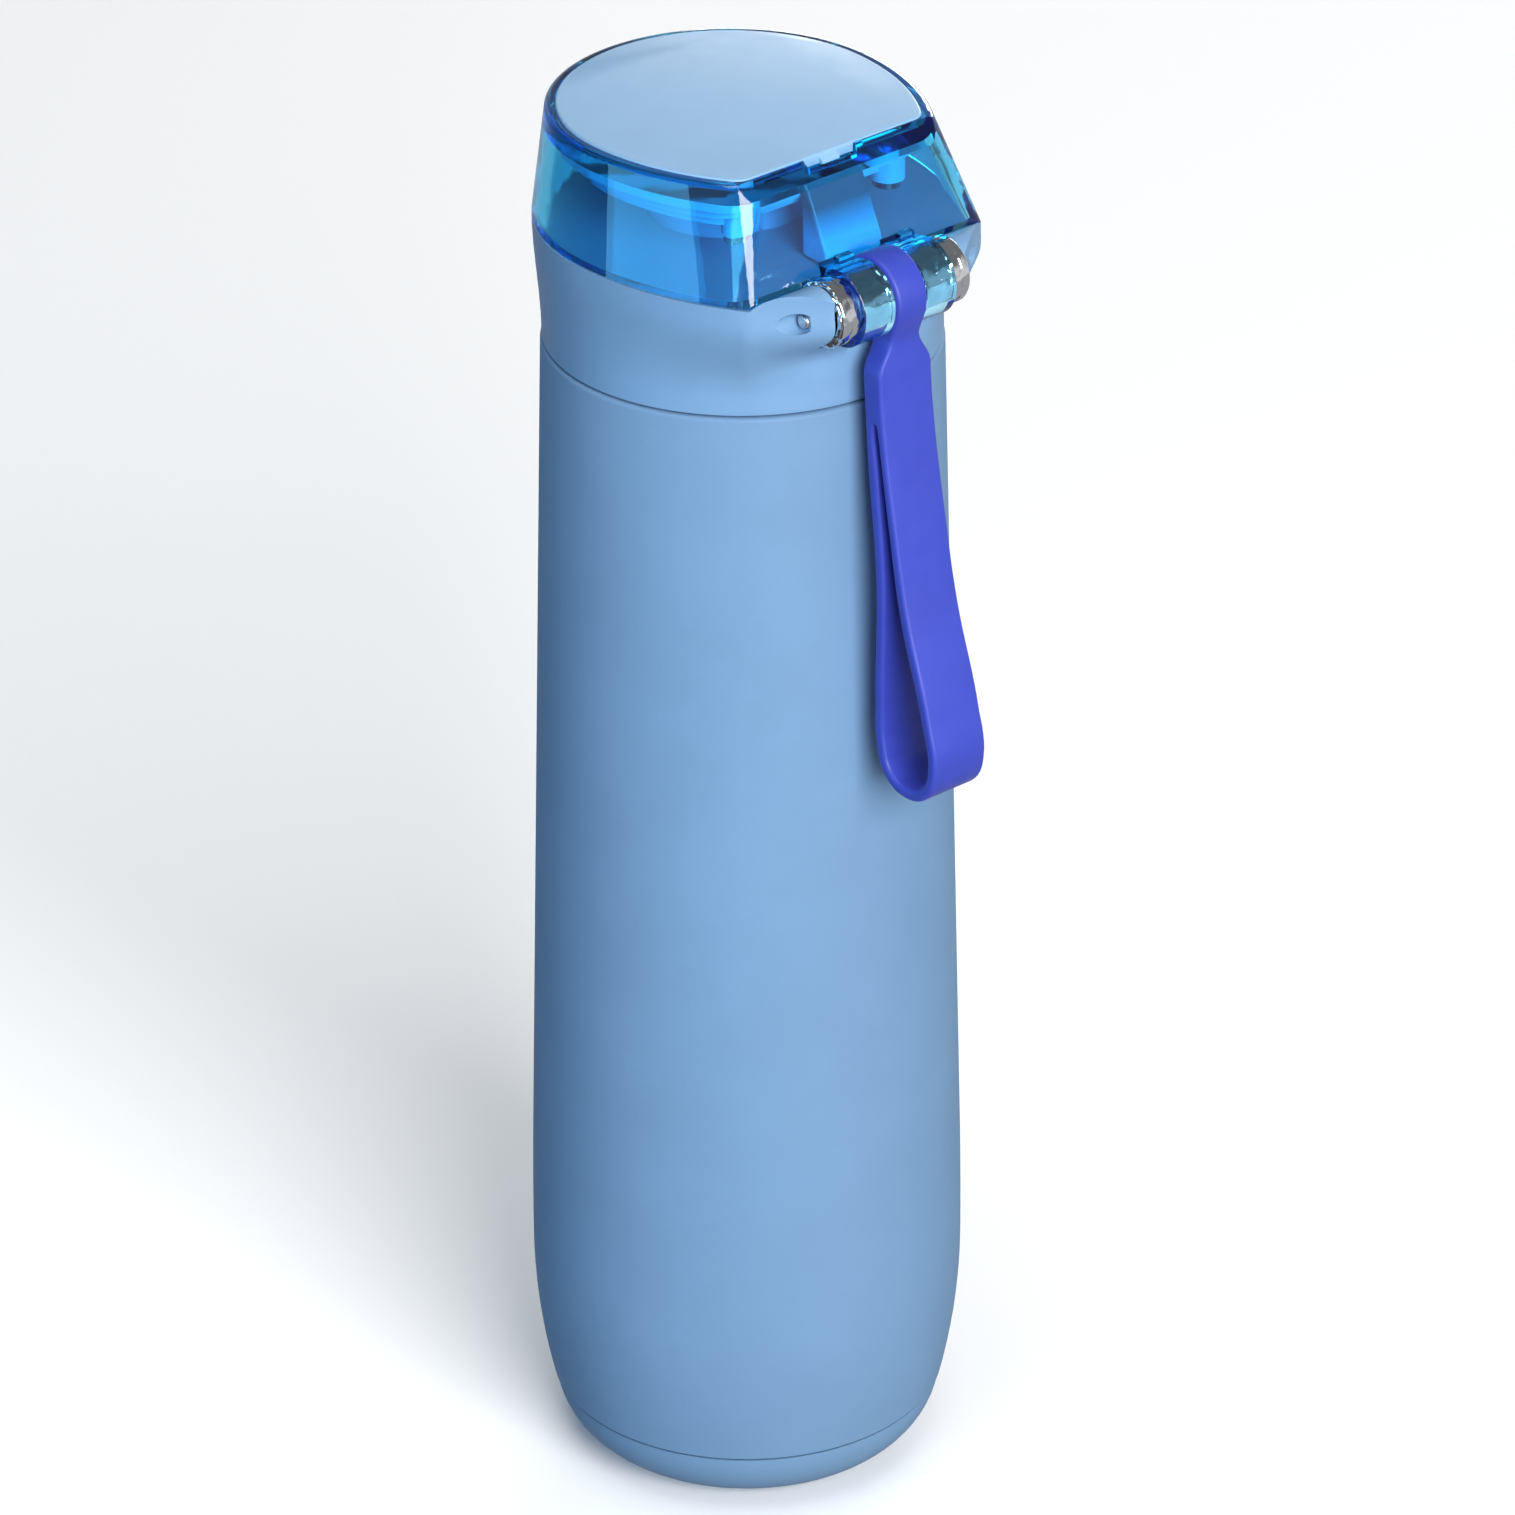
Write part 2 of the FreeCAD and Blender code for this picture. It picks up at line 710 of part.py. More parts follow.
def neck_gasket():
    body = add_body("neck_gasket")
    turned(body, "ring", [
        (size("mouth_radius") - 0.4, lip_top),
        (sleeve_bore - 0.2, lip_top),
        (sleeve_bore - 0.2, gasket_top),
        (size("mouth_radius") - 0.4, gasket_top),
    ])
    return body


def drink_spout():
    body = add_body("drink_spout")
    outside = size("spout_radius")
    inside = outside - size("spout_wall")
    flange = outside + 4.0
    flange_top = deck_under - 0.2
    turned(body, "tube", [
        (inside, web_top),
        (flange, web_top),
        (flange, flange_top),
        (outside, flange_top),
        (outside, spout_top - 0.9, (as_size(0.9), True)),
        (outside - 0.9, spout_top),
        (inside + 0.7, spout_top, (as_size(0.7), True)),
        (inside, spout_top - 0.7),
    ])
    drive(body, "Placement.Base.y", -size("spout_forward"))
    return body


# ---------------------------------------------------------------- hinge

def hinge_tube(label, inside, outside, start, end):
    """A round part on the hinge axis, from start to end across."""
    body = add_body(label)
    sketch = add_sketch(body, "section", "YZ_Plane", start)
    circle(sketch, hinge_y, hinge_z, outside)
    if inside is not None:
        circle(sketch, hinge_y, hinge_z, inside)
    added(body, "tube", sketch, end - start)
    return body


def hinge_pin():
    half = size("pin_half")
    body = hinge_tube("hinge_pin", None, size("pin_radius"), -half, half)
    rounded(body, "ends", 0.4, lambda edge: abs(abs(edge.BoundBox.Center.x) - half.value) < 0.01)
    return body


def hinge_sleeve():
    half = size("ear_start") - 0.1
    radius = size("barrel_radius")
    return hinge_tube("hinge_sleeve", radius - size("barrel_wall"), radius, -half, half)


def hinge_bush(label, sign):
    near = size("knuckle_end") + PLAY
    far = size("ear_start") - PLAY
    inside = size("barrel_radius") + size("pin_clearance")
    start, end = (near, far) if sign > 0 else (-far, -near)
    body = hinge_tube(label, inside, size("bush_radius"), start, end)
    outer_end = (end if sign > 0 else start).value
    reach = size("bush_radius").value
    rounded(
        body, "outer_round", 0.4,
        lambda edge: abs(edge.BoundBox.Center.x - outer_end) < 0.01
        and abs(edge.BoundBox.YLength - 2 * reach) < 0.01,
    )
    return body


def coil(label, centre, role, offset, radius, wire, pitch, height):
    """A coil of square wire. Its axis is a guide line in its own sketch."""
    body = add_body(label)
    sketch = add_sketch(body, "wire", role, offset)
    across, along = centre
    start = FreeCAD.Vector(0, as_size(along).value, 0)
    end = FreeCAD.Vector(10, as_size(along).value, 0)
    sketch.addGeometry(Part.LineSegment(start, end), True)
    hold(sketch, 0, 1, ZERO, along)
    hold(sketch, 0, 2, as_size(10), along)
    low = as_size(along) + radius - wire / 2
    rectangle(sketch, across, as_size(across) + wire, low, low + wire)
    helix = body.newObject("PartDesign::AdditiveHelix", "turns")
    helix.Profile = sketch
    helix.ReferenceAxis = (sketch, ["Axis0"])
    helix.Mode = 0
    drive(helix, "Pitch", pitch)
    drive(helix, "Height", height)
    return body


def torsion_spring():
    """Spring round the pin, inside the barrel."""
    wire = as_size(0.8)
    length = as_size(14.0)
    radius = size("barrel_radius") - size("barrel_wall") - PLAY - wire / 2
    return coil("torsion_spring", (-length / 2, hinge_y), "XY_Plane", hinge_z, radius, wire, 2.4, length - wire)


# ---------------------------------------------------------------- lid

def back_line(height):
    """How far back the lid's rear face lies at a height above its rim."""
    fall = size("chord_back") - size("shoulder_back")
    return size("chord_back") - fall * height / (size("lid_rise") - size("shoulder_drop"))


def lid_outside(body):
    rim = lid_plan(size("rim_radius"), ZERO, rim_flank(), size("corner_round"), size("chord_back"))
    top = lid_plan(
        size("top_rim_radius"), size("top_forward"), size("top_flank"), size("corner_top"),
        back_line(size("lid_rise")),
    )
    sections = [plan_sketch(body, "rim", lid_base, rim), plan_sketch(body, "top", lid_top, top)]
    lofted(body, "side", sections)
    sketch = add_sketch(body, "shoulder_outline", "YZ_Plane")
    shoulder_z = lid_top - size("shoulder_drop")
    top_back = size("disc_back") + 0.5
    slope = (size("shoulder_back") - top_back) / size("shoulder_drop")
    closed_profile(sketch, [
        (size("shoulder_back") + slope * 2, shoulder_z - 2),
        (size("shoulder_back") + 8, shoulder_z - 2),
        (size("shoulder_back") + 8, lid_top + 2),
        (top_back - slope * 2, lid_top + 2),
    ])
    cut(body, "shoulder", sketch, 80, symmetric=True)


def between(low, high, share):
    return low + (high - low) * share


def lid_hollow(body):
    wall = size("lid_wall")
    rise = roof_under - lid_base
    share = rise / size("lid_rise")
    corner = size("corner_round")
    low = lid_plan(size("rim_radius") - wall, ZERO, rim_flank() - wall, corner + 1.2, size("chord_back") - 3.6)
    high = lid_plan(
        between(size("rim_radius"), size("top_rim_radius"), share) - wall,
        size("top_forward") * share,
        between(rim_flank(), size("top_flank"), share) - wall,
        between(corner, size("corner_top"), share),
        back_line(rise) - wall - 0.2,
    )
    sections = [
        plan_sketch(body, "hollow_rim", lid_base, low),
        plan_sketch(body, "hollow_roof", roof_under, high),
    ]
    lofted(body, "hollow", sections, "PartDesign::SubtractiveLoft")


def disc_seat(body):
    clearance = size("disc_clearance")
    sketch = add_sketch(body, "disc_seat_outline", "XY_Plane", recess_floor)
    closed_profile(sketch, disc_plan(clearance))
    cut(body, "disc_seat", sketch, 8, back=True)
    sketch = add_sketch(body, "snap_slot_outline", "XY_Plane", recess_floor - 0.7)
    left = size("slot_shift") - 4.9
    right = size("slot_shift") + 4.9
    near = size("disc_back") - 0.2
    closed_profile(sketch, [
        (left, near),
        (right, near, (as_size(0.9), True)),
        (right, near + 1.6),
        (left, near + 1.6, (as_size(0.9), True)),
    ])
    cut(body, "snap_slot", sketch, 8, back=True)


def disc_plan(growth):
    """The lid's plan again, a little inside its top edge."""
    return lid_plan(
        size("disc_radius") + growth, size("top_forward"), size("top_flank") - 1.7 + growth,
        size("disc_corner") + growth, size("disc_back") + growth,
    )


def knuckles(body):
    """Two rings round the hinge barrel, each on an arm with a small stop rib."""
    start = size("knuckle_start")
    length = size("knuckle_end") - start
    radius = size("knuckle_radius")
    arm = [(-6.2, 3.2), (-3.0, 3.2), (-2.4, 6.0), (-4.0, 5.9), (-6.4, 6.6)]
    rib = [(-4.9, 5.0), (-3.6, 5.0), (-3.6, 6.5), (-4.9, 6.5)]
    for name, offset in (("left", -(start + length)), ("right", start)):
        sketch = add_sketch(body, f"knuckle_{name}_outline", "YZ_Plane", offset)
        circle(sketch, hinge_y, hinge_z, radius)
        added(body, f"knuckle_{name}", sketch, length)
        for kind, corners, width in (("arm", arm, length), ("rib", rib, as_size(3.0))):
            sketch = add_sketch(body, f"{kind}_{name}_outline", "YZ_Plane", offset)
            closed_profile(sketch, [(hinge_y + back, hinge_z + up) for back, up in corners])
            added(body, f"{kind}_{name}", sketch, width)


def lid_shell():
    body = add_body("lid_shell")
    lid_outside(body)
    rounded(
        body, "top_round", 1.0,
        lambda edge: edge.BoundBox.ZMin > lid_top.value - 0.01 and edge.BoundBox.YMin < 20,
    )
    lid_hollow(body)
    disc_seat(body)
    sketch = add_sketch(body, "ear_relief_outline", "YZ_Plane")
    circle(sketch, hinge_y, hinge_z, size("ear_radius") + size("swing_clearance"))
    cut(body, "ear_relief", sketch, size("corner_x") * 2, symmetric=True)
    sketch = add_sketch(body, "bush_relief_outline", "YZ_Plane")
    circle(sketch, hinge_y, hinge_z, size("bush_radius") + size("swing_clearance"))
    cut(body, "bush_relief", sketch, size("ear_start") * 2, symmetric=True)
    knuckles(body)
    sketch = add_sketch(body, "loop_relief_outline", "YZ_Plane")
    circle(sketch, hinge_y, hinge_z, size("loop_radius") + PLAY)
    cut(body, "loop_relief", sketch, size("knuckle_start") * 2, symmetric=True)
    sketch = add_sketch(body, "barrel_bore_outline", "YZ_Plane")
    circle(sketch, hinge_y, hinge_z, size("barrel_radius") + size("pin_clearance"))
    cut(body, "barrel_bore", sketch, size("ear_start") * 2, symmetric=True)
    return body


def lid_disc():
    body = add_body("lid_disc")
    sketch = add_sketch(body, "outline", "XY_Plane", recess_floor)
    closed_profile(sketch, disc_plan(ZERO))
    added(body, "plate", sketch, size("disc_thickness"))
    rounded(
        body, "rim_round", 0.4,
        lambda edge: edge.BoundBox.ZMin > disc_top.value - 0.01,
    )
    sketch = add_sketch(body, "snap_tab_outline", "XY_Plane", recess_floor)
    middle = size("slot_shift")
    rectangle(sketch, middle - 1.8, middle + 1.8, size("disc_back") - 0.5, size("disc_back") + 0.9)
    added(body, "snap_tab", sketch, size("disc_thickness") - 0.6)
    return body


def carrier_plan(inset):
    forward = size("top_forward") * 0.78
    flank = size("top_flank") - 2.0 - inset
    return lid_plan(size("carrier_radius") - inset, forward, flank, as_size(6), size("carrier_back") - inset)


def screw_places():
    across = size("carrier_radius") * 0.55
    along = size("carrier_back") - 4.4
    return (("left", -1, across, along), ("right", 1, across, along))


def seal_carrier():
    """Stepped plate under the lid's roof, with a boss for each of its screws."""
    body = add_body("seal_carrier")
    step = size("carrier_step")
    for index in range(3):
        plan = carrier_plan(size("carrier_inset") * index)
        sketch = plan_sketch(body, f"step_{index + 1}_outline", roof_under - step * (index + 1), plan)
        added(body, f"step_{index + 1}", sketch, step)
    boss_top = roof_under - step
    for name, sign, across, along in screw_places():
        sketch = add_sketch(body, f"boss_{name}_outline", "XY_Plane", boss_top)
        circle(sketch, across * sign, along, 3.0)
        added(body, f"boss_{name}", sketch, 5.6, back=True)
    for name, sign, across, along in screw_places():
        sketch = add_sketch(body, f"screw_hole_{name}_outline", "XY_Plane", boss_top - 5.6)
        circle(sketch, across * sign, along, 1.25)
        cut(body, f"screw_hole_{name}", sketch, 6.4, back=True)
    return body


def carrier_screw(label, sign):
    body = add_body(label)
    low = roof_under - size("carrier_step") - 5.6
    across, along = screw_places()[0][2:]
    sketch = add_sketch(body, "head_outline", "XY_Plane", low)
    circle(sketch, across * sign, along, 2.3)
    added(body, "head", sketch, 1.4, back=True)
    sketch = add_sketch(body, "shank_outline", "XY_Plane", low)
    circle(sketch, across * sign, along, 1.2)
    added(body, "shank", sketch, 6.0)
    sketch = add_sketch(body, "drive_outline", "XY_Plane", low - 1.4)
    rectangle(sketch, across * sign - 1.3, across * sign + 1.3, along - 0.25, along + 0.25)
    cut(body, "drive_slot", sketch, 0.7, back=True)
    return body


def spout_stopper():
    """Soft plug under the carrier that closes the drinking spout."""
    body = add_body("spout_stopper")
    high = roof_under - size("carrier_step") * 3
    seat = spout_top + PLAY
    inside = size("spout_radius") - size("spout_wall")
    turned(body, "plug", [
        (ZERO, spout_top - 1.6),
        (inside - 2.4, spout_top - 1.6, (as_size(0.8), True)),
        (inside - 1.6, spout_top - 0.8),
        (inside - 0.6, seat),
        (size("spout_radius") + 1.5, seat),
        (size("spout_radius") + 1.5, high),
        (ZERO, high),
    ])
    drive(body, "Placement.Base.y", -size("spout_forward"))
    return body


def vent_plug():
    """Block behind the stopper that covers the vent hole in the deck."""
    body = add_body("vent_plug")
    sketch = add_sketch(body, "side_outline", "YZ_Plane")
    high = roof_under - size("carrier_step")
    low = lid_base + 0.1
    back = size("chord_back") - 4.4
    front = back - 5.9
    closed_profile(sketch, [
        (front, low),
        (back, low),
        (back - 0.4, low + 2.4),
        (size("carrier_back") + 0.2, high),
        (size("carrier_back") - 1.6, high),
        (front, high - 4.5),
    ])
    added(body, "block", sketch, 12, symmetric=True)
    rounded(
        body, "side_round", 0.5,
        lambda edge: abs(abs(edge.BoundBox.Center.x) - 6) < 0.01 and edge.BoundBox.ZLength > 1,
    )
    return body


def latch_hook():
    body = add_body("latch_hook")
    sketch = add_sketch(body, "side_outline", "YZ_Plane")
    high = roof_under - size("carrier_step")
    root_front = -(size("carrier_radius") + 2.6)
    outer = -(size("rim_radius") - 3.4)
    inner = outer + 1.4
    tip = deck_under - 3.3
    closed_profile(sketch, [
        (outer, tip + 0.4),
        (outer + 0.4, tip),
        (outer + 1.2, tip),
        (inner + 0.7, tip + 0.9),
        (inner + 0.7, tip + 1.5),
        (inner, tip + 1.5),
        (inner, lid_base),
        (root_front + 1.3, high),
        (root_front, high),
        (outer, lid_base + 0.4),
    ])
    added(body, "hook", sketch, 9.6, symmetric=True)
    return body


# ---------------------------------------------------------------- button

def release_button():
    """Curved push plate in front, with two arms back to the catch bar."""
    body = add_body("release_button")
    half = size("button_width") / 2
    face = size("button_front")
    back = face - 2.0
    corner_y = root(face * face - half * half)
    sketch = add_sketch(body, "plate_outline", "XY_Plane", button_low)
    closed_profile(sketch, [
        (-half, -corner_y, (face, True)),
        (half, -corner_y),
        (half, -back),
        (-half, -back),
    ])
    added(body, "plate", sketch, size("button_height"))
    bar_front = inner_bore + 3.9
    bar_back = bar_front - 1.1
    sketch = add_sketch(body, "frame_outline", "XY_Plane", button_high)
    rectangle(sketch, -half, half, -back, -bar_back)
    added(body, "frame", sketch, 1.6, back=True)
    sketch = add_sketch(body, "frame_window_outline", "XY_Plane", button_high)
    rectangle(sketch, -5.4, 5.4, -back, -bar_front)
    cut(body, "frame_window", sketch, 1.6)
    sketch = add_sketch(body, "spring_post_outline", "XZ_Plane", back)
    circle(sketch, ZERO, (button_low + deck_under - 4.0) / 2, 1.2)
    added(body, "spring_post", sketch, 1.3, back=True)
    return body


def button_spring():
    wire = as_size(0.4)
    back = size("button_front") - 2.0
    floor = sleeve_radius + size("bore_clearance") + 1.5
    height = (button_low + deck_under - 4.0) / 2
    length = back - floor
    return coil("button_spring", (-back, height), "YZ_Plane", None, as_size(2.0), wire, 0.9, length - wire)


# ---------------------------------------------------------------- strap

def carry_strap():
    """Folded band: a loop round the hinge barrel, two bands joined at the top that
    part into a long eye with a round lower end."""
    body = add_body("carry_strap")
    thick = size("strap_thickness")
    half = size("strap_half")

    def at(across, down):
        return hinge_y + across, hinge_z - down

    end_y, end_z = at(11.7, 78.0)
    end_radius = as_size(7.2)
    sketch = add_sketch(body, "band_outline", "YZ_Plane")
    closed_profile(sketch, [
        at(0.6, 5.0),
        at(1.1, 13.2) + ((as_size(300), False),),
        at(4.2, 48.1) + ((as_size(120), False),),
        at(4.1, 70.0) + ((as_size(60), True),),
        (end_y - end_radius, end_z, (end_radius, True)),
        (end_y, end_z - end_radius, (end_radius, True)),
        (end_y + end_radius, end_z, (as_size(30), True)),
        at(17.2, 69.0),
        at(12.0, 52.3) + ((as_size(110), False),),
        at(5.8, 20.1),
        at(4.6, 5.0),
    ])
    added(body, "band", sketch, half * 2, symmetric=True)
    inner_radius = end_radius - thick
    sketch = add_sketch(body, "eye_outline", "YZ_Plane")
    closed_profile(sketch, [
        at(3.85, 20.5),
        at(6.2, 48.1) + ((as_size(118), False),),
        at(6.1, 70.0) + ((as_size(58), True),),
        (end_y - inner_radius, end_z, (inner_radius, True)),
        (end_y, end_z - inner_radius, (inner_radius, True)),
        (end_y + inner_radius, end_z, (as_size(28), True)),
        at(15.25, 69.5),
        at(10.05, 52.8) + ((as_size(112), False),),
    ])
    cut(body, "eye", sketch, half * 2, symmetric=True)
    sketch = add_sketch(body, "loop_outline", "YZ_Plane")
    circle(sketch, hinge_y, hinge_z, size("loop_radius"))
    added(body, "loop", sketch, half * 2, symmetric=True)
    sketch = add_sketch(body, "loop_hole_outline", "YZ_Plane")
    circle(sketch, hinge_y, hinge_z, size("barrel_radius") + PLAY)
    cut(body, "loop_hole", sketch, half * 2, symmetric=True)
    neck = size("loop_half")
    for name, sign in (("left", -1), ("right", 1)):
        sketch = add_sketch(body, f"neck_{name}_outline", "XZ_Plane", -(hinge_y - 12))
        closed_profile(sketch, [
            (neck * sign, hinge_z + 12),
            (neck * sign, hinge_z - 6.8),
            ((half + 0.1) * sign, hinge_z - 8.8),
            ((half + 2.0) * sign, hinge_z - 8.8),
            ((half + 2.0) * sign, hinge_z + 12),
        ])
        cut(body, f"neck_{name}", sketch, 40)
    return body


# ---------------------------------------------------------------- assembly

parts = [
    outer_shell(),
    outer_bottom(),
    vacuum_seal(),
    base_cap(),
    inner_liner(),
    collar(),
    thread_sleeve(),
    neck_gasket(),
    drink_spout(),
    hinge_pin(),
    hinge_sleeve(),
    hinge_bush("hinge_bush_left", -1),
    hinge_bush("hinge_bush_right", 1),
    torsion_spring(),
    lid_shell(),
    lid_disc(),
    seal_carrier(),
    carrier_screw("carrier_screw_left", -1),
    carrier_screw("carrier_screw_right", 1),
    spout_stopper(),
    vent_plug(),
    latch_hook(),
    release_button(),
    button_spring(),
    carry_strap(),
]
document.recompute()

for item in document.Objects:
    if "Invalid" in item.State or "Error" in item.State:
        raise RuntimeError(f"{item.Label} did not compute")
os.makedirs("parts", exist_ok=True)
for part in parts:
    if part.Shape.isNull() or not part.Shape.isValid() or len(part.Shape.Solids) != 1:
        raise RuntimeError(f"{part.Label} is not one valid solid")
    part.Shape.exportStep(f"parts/{part.Label}.step")
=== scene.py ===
"""The looks of a flip-lid insulated drinking bottle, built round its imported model."""

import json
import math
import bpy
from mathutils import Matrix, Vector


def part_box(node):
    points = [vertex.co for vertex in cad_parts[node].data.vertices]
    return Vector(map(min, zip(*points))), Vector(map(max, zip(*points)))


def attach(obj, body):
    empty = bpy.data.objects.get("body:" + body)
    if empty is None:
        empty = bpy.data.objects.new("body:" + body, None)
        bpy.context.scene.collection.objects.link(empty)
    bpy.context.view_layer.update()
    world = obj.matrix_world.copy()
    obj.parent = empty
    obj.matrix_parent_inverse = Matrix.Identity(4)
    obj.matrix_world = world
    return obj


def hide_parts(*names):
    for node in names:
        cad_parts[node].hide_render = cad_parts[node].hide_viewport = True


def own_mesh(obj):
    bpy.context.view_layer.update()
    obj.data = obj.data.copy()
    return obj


bl_info = {
    "name": "Flip-lid insulated bottle",
    "version": (1, 0, 0),
    "blender": (4, 5, 0),
    "location": "3D View > Sidebar > Bottle",
    "description": "Builds the visible pieces and finishes of an insulated bottle",
    "category": "Object",
}

import bpy
from bpy.props import FloatProperty, FloatVectorProperty, PointerProperty
from bpy.types import Operator, Panel, PropertyGroup
from mathutils import Matrix, Quaternion, Vector

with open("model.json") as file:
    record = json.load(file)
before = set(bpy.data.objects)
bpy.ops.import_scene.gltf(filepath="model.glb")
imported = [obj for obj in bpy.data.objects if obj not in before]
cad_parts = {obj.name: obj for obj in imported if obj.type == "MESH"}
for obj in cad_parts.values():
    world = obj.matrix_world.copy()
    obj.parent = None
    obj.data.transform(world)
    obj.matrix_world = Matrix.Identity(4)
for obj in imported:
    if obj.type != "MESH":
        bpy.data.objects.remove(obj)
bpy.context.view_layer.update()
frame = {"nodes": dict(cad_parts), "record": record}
NODES = frame["nodes"]


# ---------------------------------------------------------------- sizes

MM = 0.001

# how far the pieces that lie against the clear roof stay off it, so that no faces share a place
SEAT_GAP = 0.06 * MM
# the disc's snap tab at its straight back edge, which is lowered into the slot
TAB_REACH = 0.8 * MM
TAB_STEP = 0.5 * MM
TAB_DROP = 0.45 * MM

# the rounding of moulded edges
DISC_EDGE = 0.35 * MM
CARRIER_EDGE = 0.25 * MM
BLOCK_EDGE = 0.6 * MM
BUTTON_EDGE = 0.22 * MM
SPOUT_EDGE = 0.3 * MM

# the flask, in millimetres; a pair is (radius, height)
FLASK_EDGE = (33.8, 12.0)
FLASK_BELLY = (36.8, 38.0)
FLASK_TAPER = (36.5, 62.0)
FLASK_SHOULDER = (33.0, 208.2)
SHOULDER_ROUND = 0.8
NECK_ROOT = (26.4, 209.2)
NECK_ROOT_ROUND = 1.2
NECK_TOP = 220.5
NECK_EDGE = 0.1
NECK_FOOT_INSIDE = 210.1
UNDER_SHOULDER = (25.8, 208.6)
FLASK_WALL = 0.5
# the drawn-in skirt that the base cap covers
FLASK_SKIRT = [(32.0, 12.5), (31.0, 8.5), (31.5, 8.5), (32.5, 12.0)]

# the plated hinge bushes
BUSH_WALL = 0.55 * MM
BUSH_LIP = 0.28 * MM
GROOVE_HALF = 0.35 * MM
GROOVE_FLOOR_HALF = 0.22 * MM
GROOVE_DEPTH = 0.12 * MM

# the silicone strap, in millimetres; a pull is the length of a round's curve handles, and the last
# two are counted down from the hinge's axis
STRAP_EDGE = 0.65
LOOP_HALF_WIDTH = 3.1
LOOP_RADIUS = 7.0
LOOP_PULL = 3.87
BORE_RADIUS = 5.1
BORE_PULL = 0.5523 * BORE_RADIUS
NARROW_UNTIL = 6.0
WIDE_FROM = 12.0

# the turns, in radians, that draw a small quarter round
QUARTER_TURNS = (0.4, 0.8, 1.2, math.pi / 2)

# the camera; its turn is counted from the button's side towards +X
CAMERA_TURN = math.radians(139.3)
CAMERA_RISE = math.radians(28.68)
CAMERA_ROLL = math.radians(0.287)
CAMERA_DISTANCE = 1.389
CAMERA_AIM = Vector((0.0, 0.0, 0.125))
SENSOR_WIDTH = 36.0
LENS_SHIFT = (0.00835, 0.01665)

# the studio; the dark card's turn is counted from the camera's, and its shade is the share of light
# that it leaves
CARD_TURN = math.radians(-95.0)
CARD_SHADE = 0.15
GROUND_TONE = (0.36, 0.37, 0.38, 1.0)
HORIZON_TONE = (0.66, 0.66, 0.66, 1.0)
CEILING_TONE = (0.16, 0.165, 0.17, 1.0)
SIDE_TINT = (0.16, 0.60, 1.0)
FLOOR_SIZE = 12.0
FLOOR_HEIGHT = -0.2 * MM

# the colours of hidden pieces and of bare metal
STEEL_COLOUR = (0.62, 0.62, 0.63)
BEAD_COLOUR = (0.42, 0.42, 0.43)
SPRING_COLOUR = (0.50, 0.50, 0.52)
PLATING_COLOUR = (0.80, 0.81, 0.84)
SLEEVE_COLOUR = (0.10, 0.27, 0.55)
SPOUT_COLOUR = (0.16, 0.42, 0.74)
SEAL_COLOUR = (0.60, 0.70, 0.80)

# the clear lid's tint in its depth, and how far behind the bottle's axis its wall turns into the
# paler knuckles
DEPTH_TINT = (0.10, 0.79, 0.91, 1.0)
DEPTH_DENSITY = 90.0
KNUCKLES_START = 27.5 * MM
KNUCKLES_FULL = 30.5 * MM
# the heights between which painted shade darkens the frosted block towards its top
BLOCK_SHADE_START = 235 * MM
BLOCK_SHADE_FULL = 240 * MM
# the grain of polished mouldings
POLISHED = 0.003 * MM


# ---------------------------------------------------------------- settings

def colour_setting(name, description, default):
    """A colour that a user may change."""
    return FloatVectorProperty(
        name=name, description=description, default=default,
        subtype="COLOR", size=3, min=0.0, max=1.0)


def length_setting(name, description, default):
    """A length in metres that a user may change."""
    return FloatProperty(
        name=name, description=description, default=default,
        unit="LENGTH", precision=5, min=0.0)


class BottleColours(PropertyGroup):
    """The colours of the bottle's finishes."""
    coat: colour_setting("Powder coat", "Colour of the steel flask's coat", (0.146, 0.262, 0.425))
    moulding: colour_setting("Collar", "Colour of the moulded collar and button", (0.160, 0.305, 0.500))
    disc: colour_setting("Lid disc", "Colour of the disc on top of the lid", (0.215, 0.400, 0.620))
    clear: colour_setting("Clear lid", "Colour that the clear lid lets through", (0.13, 0.59, 0.85))
    thin: colour_setting("Clear knuckles", "Colour that the thin knuckles let through", (0.52, 0.78, 0.92))
    inner: colour_setting("Seal carrier", "Colour of the moulding inside the lid", (0.07, 0.52, 0.86))
    frosted: colour_setting("Frosted block", "Colour of the frosted stopper parts", (0.04, 0.46, 0.84))
    strap: colour_setting("Strap", "Colour of the silicone strap", (0.031, 0.050, 0.400))
    floor: colour_setting("Floor", "Colour of the studio floor", (0.97, 0.97, 0.97))


class BottleGrain(PropertyGroup):
    """How coarse the finishes are."""
    coat_peel: length_setting("Coat peel", "Width of the powder coat's soft waves", 1.1 * MM)
    coat_grain: length_setting("Coat grain", "Width of the powder coat's grain", 0.22 * MM)
    spark_grain: length_setting("Mould grain", "Width of the moulded plastic's grain", 0.16 * MM)


class BottleStudio(PropertyGroup):
    """The studio's lights and camera."""
    key_power: FloatProperty(
        name="Key power", description="Power of the large softbox", default=88.0,
        unit="POWER", min=0.0)
    top_power: FloatProperty(
        name="Top power", description="Power of the overhead softbox", default=18.0,
        unit="POWER", min=0.0)
    side_power: FloatProperty(
        name="Side power", description="Power of the softbox on the left", default=8.0,
        unit="POWER", min=0.0)
    back_power: FloatProperty(
        name="Back power", description="Power of the softbox behind the bottle", default=26.0,
        unit="POWER", min=0.0)
    lens: FloatProperty(
        name="Lens", description="Focal length of the camera in millimetres",
        default=196.94, unit="CAMERA", min=10.0)


# ---------------------------------------------------------------- finishes

def add(tree, kind, **inputs):
    """Adds a shader node and sets its unlinked inputs."""
    node = tree.nodes.new(kind)
    for name, value in inputs.items():
        node.inputs[name.replace("_", " ")].default_value = value
    return node


